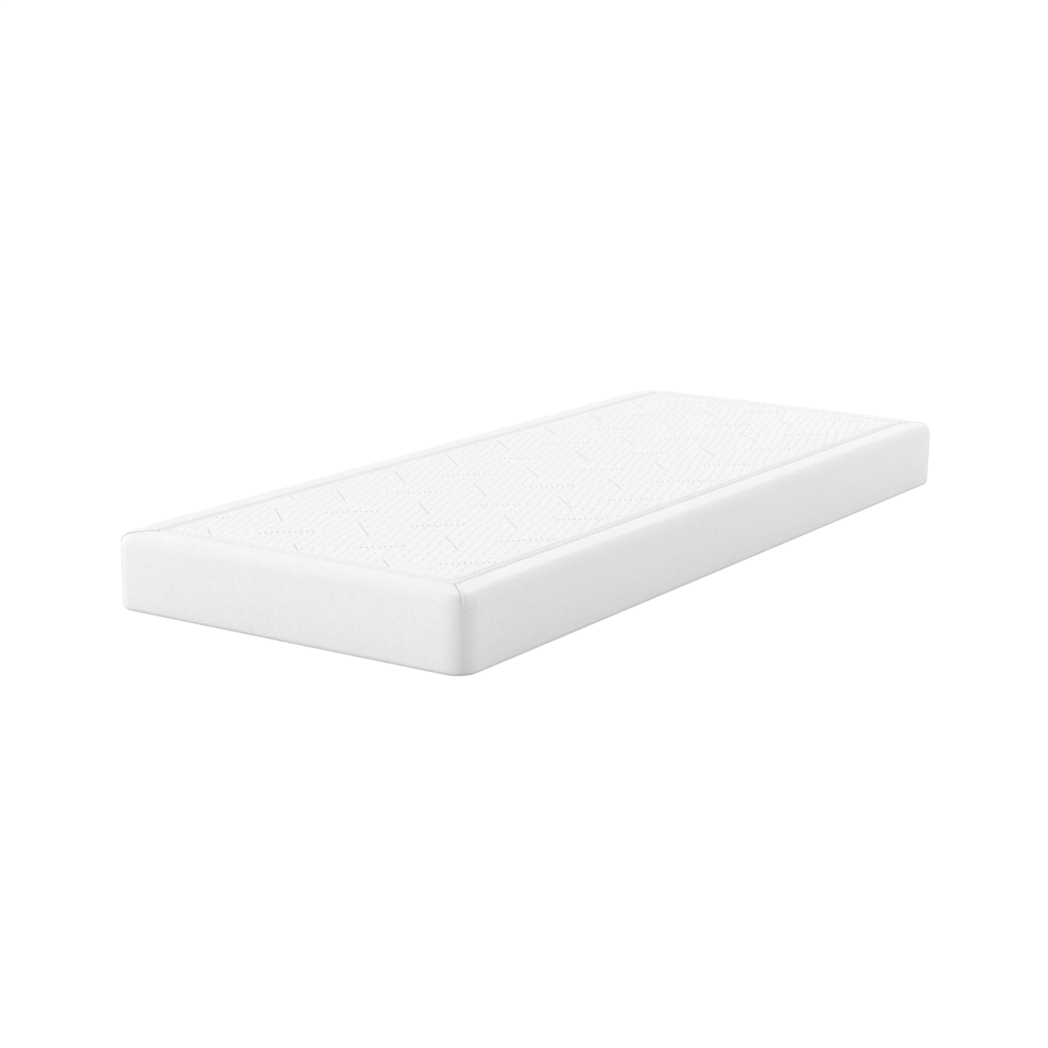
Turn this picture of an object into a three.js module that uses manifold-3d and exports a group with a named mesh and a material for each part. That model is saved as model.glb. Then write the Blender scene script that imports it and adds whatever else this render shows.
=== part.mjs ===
// Memory foam mattress, single size, with a removable cover.
// Units are millimetres and +Z is up. The origin is the centre of the underside.
// X runs along the mattress, from the foot end (-X) to the head end (+X). Y runs across it, and the
// cover's zip is in the rear side (+Y).

import * as THREE from 'three';
import { mergeVertices } from 'three/addons/utils/BufferGeometryUtils.js';
import Module from 'manifold-3d';

const wasm = await Module();
wasm.setup();

// ---- Driving dimensions -------------------------------------------------------------------------

const LENGTH = 2000;
const WIDTH = 800;
const HEIGHT = 150;            // underside to the top panel's face
const BORDER_TOP = 148.5;      // underside to the flat band around the top panel
const CORNER_R = 45;           // vertical corners, seen from above
const TOP_EDGE_R = 20;         // the border fabric rolling over the top edge
const BOTTOM_EDGE_R = 8;
const GAP = 0.3;               // between pieces that touch
const OVERSHOOT = 100;         // how far a cutting shape reaches past what it cuts
const CORNER_STEPS = 3;        // half the number of flats that a quarter turn is made of
const EDGE_STEPS = 4;          // flats on the border's rolled edges
const FOAM_EDGE_STEPS = 2;     // flats on the edges of the foams and the sleeve
const DISC_STEPS = 24;
const MERGE_DISTANCE = 1e-4;

const BORDER_T = 6;            // padded border fabric on the sides
const BAND_T = 5.5;            // the same fabric where it lies on top
const HEM_T = 3;               // and where it turns under
const TOP_INSET = 60;          // side face to the seam of the top panel
const BOTTOM_INSET = 12;       // side face to the seam of the bottom panel
const PANEL_CORNER_R = 6;
const SEAM_T = 1.6;            // a corner seam's two turned-in edges, sewn together
const SEAM_PROUD = 0.8;        // how far a corner seam stands out of the border
const PIPING_W = 3;            // the sewn lip around the top panel
const TAPE_W = 4;              // the seam tape around the bottom panel

const SLEEVE_T = 1.2;
const SLEEVE_LENGTH = 1987;
const SLEEVE_WIDTH = 782;
const SLEEVE_TOP = 141.6;
const SLEEVE_BOTTOM = HEM_T + GAP;
const SLEEVE_CORNER_R = 36;
const SLEEVE_TOP_R = 13;
const SLEEVE_BOTTOM_R = 5;
const MOUTH_SIDE = 35;         // from the cover's long sides to the sleeve's open mouth
const MOUTH_DEPTH = 30;        // how far the mouth is cut back from the head end
const MOUTH_BELOW = 12;        // sleeve left standing under the mouth
const MOUTH_ABOVE = 20;        // and above it
const BASE_FOAM_TOP = 100;      // leaves 40 mm of memory foam above
const FOAM_SHARP_R = 1;        // edges where one foam is glued to the other
const BACKING_T = 0.8;
const FACE_T = 2.6;            // knitted face fabric of the top panel
const FACE_EDGE_R = 1;
const FACE_UNDER_R = 0.2;
const PIPING_BELOW_FACE = 0.6;

const ZIP_Z = 33;              // centre line of the zip above the underside
const SLOT_HALF = 7;           // half the height of the slot that the zip lies in
const SLOT_LENGTH = 1880;
const ZIP_TAPE_LENGTH = 1872;
const ZIP_TAPE_REACH = 16;     // centre line to a tape's outer edge
const ZIP_TAPE_T = 0.6;
const COIL_LENGTH = 1836;
const COIL_W = 2.2;
const COIL_T = 1.8;
const CHANNEL_HALF = 0.9;      // half the channel that the slider's neck runs in
const STOP_LENGTH = 4;
const STOP_PROUD = 0.3;        // how far a stop stands out of the coil
const STOP_WIDER = 0.6;        // and how much wider it is
const SLIDER_LENGTH = 14;
const SLIDER_NOSE_HALF = 5.6;
const SLIDER_NOSE_LENGTH = 5;
const SLIDER_NOSE_FLAT = 1.5;
const SLIDER_TAIL_HALF = 4.4;
const SLIDER_TAIL_R = 1;
const SLIDER_PLATE_T = 0.9;
const SLIDER_BITE = 0.3;       // how far the slider's parts run into each other
const SLIDER_CLEAR = 0.4;      // between the coil and the front plate
const RAIL_T = 0.9;
const RAIL_CLEAR = 0.7;        // between a tape and the rail over it
const NECK_HALF = 0.5;
const NECK_START = 4.5;        // the neck's two ends, behind the tip of the nose
const NECK_END = 1;
const SLIDER_X = 908;          // centre of the slider with the zip closed
const PIN_R = 0.5;
const EYE_BORE_R = 0.8;
const EYE_R = 1.1;
const LUG_INNER = 2.8;
const LUG_T = 0.9;
const LUG_R = 1.2;
const LUG_ROOT = 0.4;          // how deep a lug is set in the front plate
const PIN_HEIGHT = 1.4;        // from the front plate to the pin's axis
const PIN_AHEAD = 1;           // the pin's place in front of the slider's middle
const TAB_LENGTH = 25;
const TAB_HALF = 4;
const TAB_T = 0.8;
const TAB_SIDE_CLEAR = 0.4;    // between the tab's eye and each lug
const TAB_START = 0.6;         // where the tab leaves its eye
const TAB_NECK_END = 3;        // where it begins to widen
const TAB_SWELL = 5;
const TAB_SWELL_END = 8;       // where it has its full width
const TAB_HOLE_R = 1.9;

const LABEL_LENGTH = 60;
const LABEL_HEIGHT = 40;
const LABEL_T = 0.6;
const LABEL_POCKET = 1.0;      // how deep the sewn-on label presses into the border
const LABEL_MARGIN = 1;        // pressed-in border showing around the label
const LABEL_X = -800;
const LABEL_Z = 86;

// Depths of the zip's layers, measured along Y from the rear side inwards.
const REAR_FACE = WIDTH / 2;
const REAR_INNER = REAR_FACE - BORDER_T;
const TAPE_OUTER = REAR_INNER - GAP;
const TAPE_INNER = TAPE_OUTER - ZIP_TAPE_T;
const COIL_INNER = TAPE_OUTER + GAP;
const COIL_OUTER = COIL_INNER + COIL_T;
const PLATE_INNER = COIL_OUTER + SLIDER_CLEAR;
const PLATE_OUTER = PLATE_INNER + SLIDER_PLATE_T;
const BACK_PLATE_OUTER = TAPE_INNER - GAP;
const PIN_Y = PLATE_OUTER + PIN_HEIGHT;
const PIN_X = SLIDER_X + PIN_AHEAD;
const EYE_HALF = LUG_INNER - TAB_SIDE_CLEAR;

// Depths of the top panel's layers, from its face down.
const FACE_BOTTOM = HEIGHT - FACE_T;
const BACKING_BOTTOM = SLEEVE_TOP + GAP;
const BACKING_TOP = BACKING_BOTTOM + BACKING_T;

// ---- Materials ----------------------------------------------------------------------------------

function material(color, roughness, metalness = 0) {
  return new THREE.MeshStandardMaterial({ color, roughness, metalness });
}

const MATERIALS = {
  knit: material(0xf7f7f8, 0.9),
  border: material(0xeeeef0, 0.92),
  wadding: material(0xfafafa, 1.0),
  backing: material(0xe9e9e6, 0.95),
  memoryFoam: material(0xf6f2e4, 0.95),
  baseFoam: material(0xe6ebf1, 0.95),
  sleeve: material(0xf2f2ee, 0.95),
  underside: material(0xdcdcdc, 0.9),
  thread: material(0xf4f4f4, 0.8),
  zipTape: material(0xf0f0f0, 0.85),
  zipCoil: material(0xf3f3f3, 0.4),
  zipMetal: material(0xc9cacc, 0.3, 0.9),
  label: material(0xfbfbfb, 0.7),
};

// ---- Booleans -----------------------------------------------------------------------------------

function toSolid(geometry) {
  const bare = geometry.clone();
  bare.deleteAttribute('normal');
  bare.deleteAttribute('uv');
  const merged = mergeVertices(bare, MERGE_DISTANCE);
  return new wasm.Manifold(new wasm.Mesh({
    numProp: 3,
    vertProperties: new Float32Array(merged.attributes.position.array),
    triVerts: new Uint32Array(merged.index.array),
  }));
}

function toGeometry(solid) {
  const mesh = solid.getMesh();
  const geometry = new THREE.BufferGeometry();
  geometry.setAttribute('position', new THREE.BufferAttribute(new Float32Array(mesh.vertProperties), 3));
  geometry.setIndex(new THREE.BufferAttribute(new Uint32Array(mesh.triVerts), 1));
  geometry.computeVertexNormals();
  return geometry;
}

// ---- Shapes -------------------------------------------------------------------------------------

function roundedRect(length, width, radius) {
  const x = length / 2 - radius;
  const y = width / 2 - radius;
  const shape = new THREE.Shape();
  shape.moveTo(-x, -width / 2);
  shape.lineTo(x, -width / 2);
  shape.absarc(x, -y, radius, -Math.PI / 2, 0);
  shape.lineTo(length / 2, y);
  shape.absarc(x, y, radius, 0, Math.PI / 2);
  shape.lineTo(-x, width / 2);
  shape.absarc(-x, y, radius, Math.PI / 2, Math.PI);
  shape.lineTo(-length / 2, -y);
  shape.absarc(-x, -y, radius, Math.PI, Math.PI * 1.5);
  return shape;
}

function slab(shape, bottom, top) {
  const geometry = new THREE.ExtrudeGeometry(shape, {
    depth: top - bottom,
    bevelEnabled: false,
    curveSegments: CORNER_STEPS,
  });
  geometry.translate(0, 0, bottom);
  return geometry;
}

// An upright block with the same radius on its top and bottom edges.
function pillow(length, width, cornerR, edgeR, bottom, top, edgeSteps) {
  const geometry = new THREE.ExtrudeGeometry(roundedRect(length, width, cornerR), {
    depth: top - bottom - 2 * edgeR,
    bevelThickness: edgeR,
    bevelSize: edgeR,
    bevelOffset: -edgeR,
    bevelSegments: edgeSteps,
    curveSegments: CORNER_STEPS,
  });
  geometry.translate(0, 0, bottom + edgeR);
  return geometry;
}

// A block with one radius on its top edges and another on its bottom edges.
function mattressBlock(length, width, cornerR, topR, bottomR, bottom, top, edgeSteps = FOAM_EDGE_STEPS) {
  const upper = toSolid(pillow(length, width, cornerR, topR, bottom - OVERSHOOT, top, edgeSteps));
  const lower = toSolid(pillow(length, width, cornerR, bottomR, bottom, top + OVERSHOOT, edgeSteps));
  return upper.intersect(lower);
}

function box(x0, x1, y0, y1, z0, z1) {
  const geometry = new THREE.BoxGeometry(x1 - x0, y1 - y0, z1 - z0);
  geometry.translate((x0 + x1) / 2, (y0 + y1) / 2, (z0 + z1) / 2);
  return geometry;
}

// A rectangular frame lying flat, inset from the mattress's sides.
function flatFrame(inset, radius, width, bottom, top) {
  const inner = inset + width;
  const outline = roundedRect(LENGTH - 2 * inset, WIDTH - 2 * inset, radius);
  const opening = roundedRect(LENGTH - 2 * inner, WIDTH - 2 * inner, radius - width);
  const hole = slab(opening, bottom - OVERSHOOT, top + OVERSHOOT);
  return toGeometry(toSolid(slab(outline, bottom, top)).subtract(toSolid(hole)));
}

// A disc whose axis lies along Z, as wide as depth and centred on the given height.
function upright(radius, depth, x, y, z) {
  const geometry = new THREE.CylinderGeometry(radius, radius, depth, DISC_STEPS);
  geometry.rotateX(Math.PI / 2);
  geometry.translate(x, y, z);
  return geometry;
}

// An outline drawn in X and Z, made thick along Y between two depths.
function wallPlate(shape, inner, outer) {
  const geometry = slab(shape, 0, outer - inner);
  geometry.rotateX(Math.PI / 2);
  geometry.translate(0, outer, 0);
  return geometry;
}

// A box given by its X and Y, reaching from one height to another on the zip's upper or lower side.
function zipBox(x0, x1, y0, y1, side, near, far) {
  const a = ZIP_Z + side * near;
  const b = ZIP_Z + side * far;
  return box(x0, x1, y0, y1, Math.min(a, b), Math.max(a, b));
}

// ---- Foam core ----------------------------------------------------------------------------------

// The foams fill the sleeve, so each outer radius is the sleeve's less this.
const FOAM_INSET = SLEEVE_T + GAP;

function foamBlock(bottom, top, topR, bottomR) {
  const length = SLEEVE_LENGTH - 2 * FOAM_INSET;
  const width = SLEEVE_WIDTH - 2 * FOAM_INSET;
  const cornerR = SLEEVE_CORNER_R - FOAM_INSET;
  return toGeometry(mattressBlock(length, width, cornerR, topR, bottomR, bottom, top));
}

function memoryFoamLayer() {
  const top = SLEEVE_TOP - FOAM_INSET;
  return foamBlock(BASE_FOAM_TOP + GAP, top, SLEEVE_TOP_R - FOAM_INSET, FOAM_SHARP_R);
}

function baseFoamCore() {
  const bottom = SLEEVE_BOTTOM + FOAM_INSET;
  return foamBlock(bottom, BASE_FOAM_TOP, FOAM_SHARP_R, SLEEVE_BOTTOM_R - FOAM_INSET);
}

// A knitted tube drawn over both foams, open at the head end.
function innerSleeve() {
  const outer = mattressBlock(
    SLEEVE_LENGTH, SLEEVE_WIDTH, SLEEVE_CORNER_R, SLEEVE_TOP_R, SLEEVE_BOTTOM_R, SLEEVE_BOTTOM, SLEEVE_TOP,
  );
  const bottom = SLEEVE_BOTTOM + SLEEVE_T;
  const hollow = mattressBlock(
    SLEEVE_LENGTH - 2 * SLEEVE_T, SLEEVE_WIDTH - 2 * SLEEVE_T, SLEEVE_CORNER_R - SLEEVE_T,
    SLEEVE_TOP_R - SLEEVE_T, SLEEVE_BOTTOM_R - SLEEVE_T, bottom, SLEEVE_TOP - SLEEVE_T,
  );
  const half = WIDTH / 2 - MOUTH_SIDE;
  const mouth = toSolid(box(
    SLEEVE_LENGTH / 2 - MOUTH_DEPTH, LENGTH, -half, half, bottom + MOUTH_BELOW, SLEEVE_TOP - MOUTH_ABOVE,
  ));
  return toGeometry(outer.subtract(hollow).subtract(mouth));
}

// ---- Top panel ----------------------------------------------------------------------------------

function panelLayer(inset, bottom, top, edgeR) {
  const length = LENGTH - 2 * inset;
  const width = WIDTH - 2 * inset;
  if (edgeR === 0) {
    return slab(roundedRect(length, width, PANEL_CORNER_R), bottom, top);
  }
  return toGeometry(mattressBlock(length, width, PANEL_CORNER_R, edgeR, FACE_UNDER_R, bottom, top));
}

const PANEL_INSET = TOP_INSET + GAP + PIPING_W + GAP;

function topPanelFabric() {
  return panelLayer(PANEL_INSET, FACE_BOTTOM, HEIGHT, FACE_EDGE_R);
}

function topPanelWadding() {
  return panelLayer(PANEL_INSET, BACKING_TOP + GAP, FACE_BOTTOM - GAP, 0);
}

function topPanelBacking() {
  return panelLayer(TOP_INSET + GAP, BACKING_BOTTOM, BACKING_TOP, 0);
}

function topSeamPiping() {
  const top = HEIGHT - PIPING_BELOW_FACE;
  return flatFrame(TOP_INSET + GAP, PANEL_CORNER_R, PIPING_W, BACKING_TOP + GAP, top);
}

// ---- Border: side panels mitred at the corners, turned over the top and under the bottom ---------

function borderShell(proud, bottom) {
  const top = BORDER_TOP + proud;
  const length = LENGTH + 2 * proud;
  const width = WIDTH + 2 * proud;
  const outer = mattressBlock(
    length, width, CORNER_R + proud, TOP_EDGE_R + proud, BOTTOM_EDGE_R, bottom, top, EDGE_STEPS,
  );
  const hollow = mattressBlock(
    LENGTH - 2 * BORDER_T, WIDTH - 2 * BORDER_T, CORNER_R - BORDER_T,
    TOP_EDGE_R - BORDER_T, BOTTOM_EDGE_R - HEM_T, HEM_T, BORDER_TOP - BAND_T, EDGE_STEPS,
  );
  const panel = roundedRect(LENGTH - 2 * TOP_INSET, WIDTH - 2 * TOP_INSET, PANEL_CORNER_R);
  const topHole = slab(panel, HEIGHT / 2, HEIGHT + OVERSHOOT);
  const underside = roundedRect(
    LENGTH - 2 * BOTTOM_INSET, WIDTH - 2 * BOTTOM_INSET, CORNER_R - BOTTOM_INSET,
  );
  const bottomHole = slab(underside, -OVERSHOOT, HEIGHT / 2);
  return outer.subtract(hollow).subtract(toSolid(topHole)).subtract(toSolid(bottomHole));
}

// How far a mitred edge stands back from the mitre's plane, leaving room for the seam.
const MITRE_BACK = (SEAM_T / 2 + GAP) * Math.SQRT2;

// The part of the plan that belongs to one end: a triangle, pointing inwards.
function endWedge(side) {
  const apex = LENGTH / 2 - WIDTH / 2 + MITRE_BACK;
  const base = LENGTH / 2 + OVERSHOOT;
  const half = base - apex;
  const shape = new THREE.Shape();
  shape.moveTo(side * apex, 0);
  shape.lineTo(side * base, -side * half);
  shape.lineTo(side * base, side * half);
  return toSolid(slab(shape, -OVERSHOOT, HEIGHT + OVERSHOOT));
}

// The part that belongs to one long side: a trapezium, from the middle line outwards.
function longWedge(side) {
  const near = LENGTH / 2 - WIDTH / 2 - MITRE_BACK;
  const base = WIDTH / 2 + OVERSHOOT;
  const shape = new THREE.Shape();
  shape.moveTo(-near, 0);
  shape.lineTo(near, 0);
  shape.lineTo(near + base, side * base);
  shape.lineTo(-near - base, side * base);
  return toSolid(slab(shape, -OVERSHOOT, HEIGHT + OVERSHOOT));
}

function zipSlot() {
  const half = SLOT_LENGTH / 2;
  const inner = REAR_FACE - 3 * BORDER_T;
  return toSolid(box(-half, half, inner, REAR_FACE + OVERSHOOT, ZIP_Z - SLOT_HALF, ZIP_Z + SLOT_HALF));
}

function labelPocket() {
  const x = LABEL_LENGTH / 2 + LABEL_MARGIN;
  const z = LABEL_HEIGHT / 2 + LABEL_MARGIN;
  const inner = REAR_FACE - LABEL_POCKET;
  return toSolid(box(LABEL_X - x, LABEL_X + x, inner, REAR_FACE + OVERSHOOT, LABEL_Z - z, LABEL_Z + z));
}

function rearPanels(shell) {
  const whole = shell.intersect(longWedge(1)).subtract(zipSlot());
  const reach = LENGTH;
  const above = toSolid(box(-reach, reach, -reach, reach, ZIP_Z + GAP / 2, reach));
  const below = toSolid(box(-reach, reach, -reach, reach, -reach, ZIP_Z - GAP / 2));
  return {
    upper: toGeometry(whole.intersect(above).subtract(labelPocket())),
    lower: toGeometry(whole.intersect(below)),
  };
}

function cornerSeam(sideX, sideY) {
  const fin = new THREE.BoxGeometry(WIDTH, SEAM_T, HEIGHT * 2);
  fin.rotateZ(sideX * sideY * Math.PI / 4);
  fin.translate(sideX * LENGTH / 2, sideY * WIDTH / 2, HEIGHT);
  const trimmed = borderShell(SEAM_PROUD, -SEAM_PROUD).intersect(toSolid(fin));
  const aboveFloor = toSolid(box(-LENGTH, LENGTH, -LENGTH, LENGTH, GAP, LENGTH));
  return toGeometry(trimmed.intersect(aboveFloor));
}

// ---- Underside ----------------------------------------------------------------------------------

function bottomSeamTape() {
  const inset = BOTTOM_INSET + GAP;
  return flatFrame(inset, CORNER_R - inset, TAPE_W, GAP, HEM_T);
}

function bottomPanel() {
  const inset = BOTTOM_INSET + 2 * GAP + TAPE_W;
  return slab(roundedRect(LENGTH - 2 * inset, WIDTH - 2 * inset, CORNER_R - inset), 0, HEM_T);
}

// ---- Zip ----------------------------------------------------------------------------------------

function zipTape(side) {
  const half = ZIP_TAPE_LENGTH / 2;
  return zipBox(-half, half, TAPE_INNER, TAPE_OUTER, side, CHANNEL_HALF, ZIP_TAPE_REACH);
}

function zipCoil(side) {
  const half = COIL_LENGTH / 2;
  return zipBox(-half, half, COIL_INNER, COIL_OUTER, side, CHANNEL_HALF, CHANNEL_HALF + COIL_W);
}

function zipTopStop(side) {
  const start = COIL_LENGTH / 2 + GAP;
  const outer = COIL_OUTER + STOP_PROUD;
  const far = CHANNEL_HALF + COIL_W + STOP_WIDER;
  return zipBox(start, start + STOP_LENGTH, COIL_INNER, outer, side, CHANNEL_HALF, far);
}

function zipBottomStop() {
  const half = CHANNEL_HALF + COIL_W;
  const start = -COIL_LENGTH / 2 - GAP;
  const outer = COIL_OUTER + STOP_PROUD;
  return box(start - STOP_LENGTH, start, COIL_INNER, outer, ZIP_Z - half, ZIP_Z + half);
}

// The slider's outline: a broad nose towards the head end and a narrower tail.
function sliderOutline() {
  const x = SLIDER_LENGTH / 2;
  const shoulder = x - SLIDER_NOSE_LENGTH;
  const shape = new THREE.Shape();
  shape.moveTo(-x, -SLIDER_TAIL_HALF + SLIDER_TAIL_R);
  shape.quadraticCurveTo(-x, -SLIDER_TAIL_HALF, -x + SLIDER_TAIL_R, -SLIDER_TAIL_HALF);
  shape.lineTo(shoulder, -SLIDER_NOSE_HALF);
  shape.quadraticCurveTo(x, -SLIDER_NOSE_HALF, x, -SLIDER_NOSE_FLAT);
  shape.lineTo(x, SLIDER_NOSE_FLAT);
  shape.quadraticCurveTo(x, SLIDER_NOSE_HALF, shoulder, SLIDER_NOSE_HALF);
  shape.lineTo(-x + SLIDER_TAIL_R, SLIDER_TAIL_HALF);
  shape.quadraticCurveTo(-x, SLIDER_TAIL_HALF, -x, SLIDER_TAIL_HALF - SLIDER_TAIL_R);
  return shape;
}

// A lug beside the pull tab's eye, standing up from the front plate and round at its top.
function sliderLug(side) {
  const shape = new THREE.Shape();
  shape.moveTo(PIN_X - LUG_R, PLATE_OUTER - LUG_ROOT);
  shape.lineTo(PIN_X + LUG_R, PLATE_OUTER - LUG_ROOT);
  shape.lineTo(PIN_X + LUG_R, PIN_Y);
  shape.absarc(PIN_X, PIN_Y, LUG_R, 0, Math.PI);
  const inner = ZIP_Z + side * LUG_INNER;
  const outer = ZIP_Z + side * (LUG_INNER + LUG_T);
  return slab(shape, Math.min(inner, outer), Math.max(inner, outer));
}

function sliderPlate(inner, outer) {
  const plate = wallPlate(sliderOutline(), inner, outer);
  plate.translate(SLIDER_X, 0, ZIP_Z);
  return toSolid(plate);
}

// The post between the slider's two plates, which parts the zip's halves.
function sliderNeck() {
  const nose = SLIDER_X + SLIDER_LENGTH / 2;
  return toSolid(box(
    nose - NECK_START, nose - NECK_END, BACK_PLATE_OUTER - SLIDER_BITE, PLATE_INNER + SLIDER_BITE,
    ZIP_Z - NECK_HALF, ZIP_Z + NECK_HALF,
  ));
}

// The front plate's edge, turned in beside the coil.
function sliderRail(side) {
  const start = SLIDER_X - SLIDER_LENGTH / 2 + SLIDER_TAIL_R;
  const end = SLIDER_X + SLIDER_LENGTH / 2 - SLIDER_NOSE_LENGTH;
  const near = SLIDER_TAIL_HALF - RAIL_T;
  return toSolid(zipBox(
    start, end, TAPE_OUTER + RAIL_CLEAR, PLATE_INNER + SLIDER_BITE, side, near, SLIDER_TAIL_HALF,
  ));
}

function zipSlider() {
  const front = sliderPlate(PLATE_INNER, PLATE_OUTER);
  const back = sliderPlate(BACK_PLATE_OUTER - SLIDER_PLATE_T, BACK_PLATE_OUTER);
  const pin = toSolid(upright(PIN_R, 2 * LUG_INNER + LUG_T, PIN_X, PIN_Y, ZIP_Z));
  let slider = front.add(back).add(sliderNeck()).add(pin);
  for (const side of [-1, 1]) {
    slider = slider.add(toSolid(sliderLug(side))).add(sliderRail(side));
  }
  return toGeometry(slider);
}

// The tab lies along the zip, towards the foot end, with its eye around the slider's pin.
function pullTabOutline() {
  const round = -TAB_LENGTH + TAB_HALF;
  const shape = new THREE.Shape();
  shape.moveTo(-TAB_START, -EYE_HALF);
  shape.lineTo(-TAB_START, EYE_HALF);
  shape.lineTo(-TAB_NECK_END, EYE_HALF);
  shape.quadraticCurveTo(-TAB_SWELL, TAB_HALF, -TAB_SWELL_END, TAB_HALF);
  shape.lineTo(round, TAB_HALF);
  shape.absarc(round, 0, TAB_HALF, Math.PI / 2, Math.PI * 1.5);
  shape.lineTo(-TAB_SWELL_END, -TAB_HALF);
  shape.quadraticCurveTo(-TAB_SWELL, -TAB_HALF, -TAB_NECK_END, -EYE_HALF);
  const grip = new THREE.Path();
  grip.absarc(round, 0, TAB_HOLE_R, 0, Math.PI * 2);
  shape.holes.push(grip);
  return shape;
}

function zipPullTab() {
  const plate = wallPlate(pullTabOutline(), PIN_Y - TAB_T / 2, PIN_Y + TAB_T / 2);
  plate.translate(PIN_X, 0, ZIP_Z);
  const eye = toSolid(upright(EYE_R, 2 * EYE_HALF, PIN_X, PIN_Y, ZIP_Z));
  const bore = toSolid(upright(EYE_BORE_R, 2 * LUG_INNER, PIN_X, PIN_Y, ZIP_Z));
  return toGeometry(toSolid(plate).add(eye).subtract(bore));
}

function careLabel() {
  const outer = REAR_FACE - LABEL_POCKET + GAP + LABEL_T;
  return box(
    LABEL_X - LABEL_LENGTH / 2, LABEL_X + LABEL_LENGTH / 2, outer - LABEL_T, outer,
    LABEL_Z - LABEL_HEIGHT / 2, LABEL_Z + LABEL_HEIGHT / 2,
  );
}

// ---- Assembly -----------------------------------------------------------------------------------

const mattress = new THREE.Group();

function place(name, geometry, finish) {
  const mesh = new THREE.Mesh(geometry, finish);
  mesh.name = name;
  mattress.add(mesh);
}

place('memory_foam_layer', memoryFoamLayer(), MATERIALS.memoryFoam);
place('base_foam_core', baseFoamCore(), MATERIALS.baseFoam);
place('inner_sleeve', innerSleeve(), MATERIALS.sleeve);

place('top_panel_fabric', topPanelFabric(), MATERIALS.knit);
place('top_panel_wadding', topPanelWadding(), MATERIALS.wadding);
place('top_panel_backing', topPanelBacking(), MATERIALS.backing);
place('top_seam_piping', topSeamPiping(), MATERIALS.border);

const border = borderShell(0, 0);
const rear = rearPanels(border);
place('side_panel_foot', toGeometry(border.intersect(endWedge(-1))), MATERIALS.border);
place('side_panel_head', toGeometry(border.intersect(endWedge(1))), MATERIALS.border);
place('side_panel_front', toGeometry(border.intersect(longWedge(-1))), MATERIALS.border);
place('side_panel_rear_upper', rear.upper, MATERIALS.border);
place('side_panel_rear_lower', rear.lower, MATERIALS.border);

for (const [endName, sideX] of [['foot', -1], ['head', 1]]) {
  for (const [sideName, sideY] of [['front', -1], ['rear', 1]]) {
    place(`corner_seam_${endName}_${sideName}`, cornerSeam(sideX, sideY), MATERIALS.thread);
  }
}

place('bottom_panel', bottomPanel(), MATERIALS.underside);
place('bottom_seam_tape', bottomSeamTape(), MATERIALS.thread);

for (const [sideName, side] of [['lower', -1], ['upper', 1]]) {
  place(`zip_tape_${sideName}`, zipTape(side), MATERIALS.zipTape);
  place(`zip_coil_${sideName}`, zipCoil(side), MATERIALS.zipCoil);
  place(`zip_top_stop_${sideName}`, zipTopStop(side), MATERIALS.zipMetal);
}
place('zip_bottom_stop', zipBottomStop(), MATERIALS.zipMetal);
place('zip_slider', zipSlider(), MATERIALS.zipMetal);
place('zip_pull_tab', zipPullTab(), MATERIALS.zipMetal);
place('care_label', careLabel(), MATERIALS.label);

export default mattress;
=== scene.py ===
"""A single memory foam mattress in a zipped cover: what it looks like, built round its CAD frame.

Everything is in metres. X runs from the foot end (-X) to the head end (+X), the zip is in the rear side
(+Y), and the mattress lies on Z = 0.
"""

import math

import bmesh
import bpy
import numpy as np
from mathutils import Matrix, Vector


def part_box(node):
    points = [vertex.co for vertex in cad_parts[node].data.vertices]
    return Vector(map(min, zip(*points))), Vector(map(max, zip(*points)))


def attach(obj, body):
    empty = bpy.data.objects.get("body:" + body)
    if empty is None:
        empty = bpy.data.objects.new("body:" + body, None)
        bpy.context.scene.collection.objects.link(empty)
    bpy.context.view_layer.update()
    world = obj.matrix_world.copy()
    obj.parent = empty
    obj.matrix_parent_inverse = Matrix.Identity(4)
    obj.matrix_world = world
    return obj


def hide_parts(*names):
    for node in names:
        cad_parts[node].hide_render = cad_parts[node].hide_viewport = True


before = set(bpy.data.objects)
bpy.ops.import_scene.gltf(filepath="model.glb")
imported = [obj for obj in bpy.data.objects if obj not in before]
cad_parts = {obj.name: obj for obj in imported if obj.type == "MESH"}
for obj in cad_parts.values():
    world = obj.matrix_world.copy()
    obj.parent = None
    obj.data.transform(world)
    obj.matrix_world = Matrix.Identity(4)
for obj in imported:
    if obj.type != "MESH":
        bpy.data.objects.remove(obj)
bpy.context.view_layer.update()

MM = 0.001

# ---- Sizes, from the frame --------------------------------------------------------------------------


def low(node):
    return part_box(node)[0]


def high(node):
    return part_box(node)[1]


HALF_LENGTH = high("side_panel_head").x
HALF_WIDTH = -low("side_panel_front").y
BAND_Z = high("side_panel_foot").z
FACE_Z = high("top_panel_fabric").z
PANEL_X = high("top_panel_fabric").x
PANEL_Y = high("top_panel_fabric").y
SEAM_INSET = HALF_LENGTH - high("top_seam_piping").x
SEAM_FLOOR = low("top_seam_piping").z
HEM_INSET = HALF_LENGTH - high("bottom_seam_tape").x
HEM_TOP = high("bottom_seam_tape").z
ZIP_Z = (high("zip_slider").z + low("zip_slider").z) / 2
TAPE_Y = high("zip_tape_upper").y
SLOT_HALF_LENGTH = high("zip_tape_upper").x + 4 * MM

# ---- Shape of the cover -----------------------------------------------------------------------------

CORNER_R = 45 * MM          # vertical corners, seen from above
SEAM_CORNER_R = 6 * MM      # corners of the top panel
TOP_EDGE_R = 20 * MM
BOTTOM_EDGE_R = 10 * MM
SEAM_ROLL_R = 3 * MM        # the border rolling down into the top seam
HEM_ROLL_R = 1 * MM
CLOTH_T = 1.2 * MM
SIDE_BULGE = 2.0 * MM
BAND_CROWN = 0.7 * MM
SLOT_HALF = 6.6 * MM        # half the height of the opening over the zip
SLOT_CLOSING = 12 * MM      # length over which the opening closes at its ends
HEM_FOLD_R = 1.5 * MM       # the folded edges of the opening
HEM_FOLD_DEPTH = 9 * MM

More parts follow.
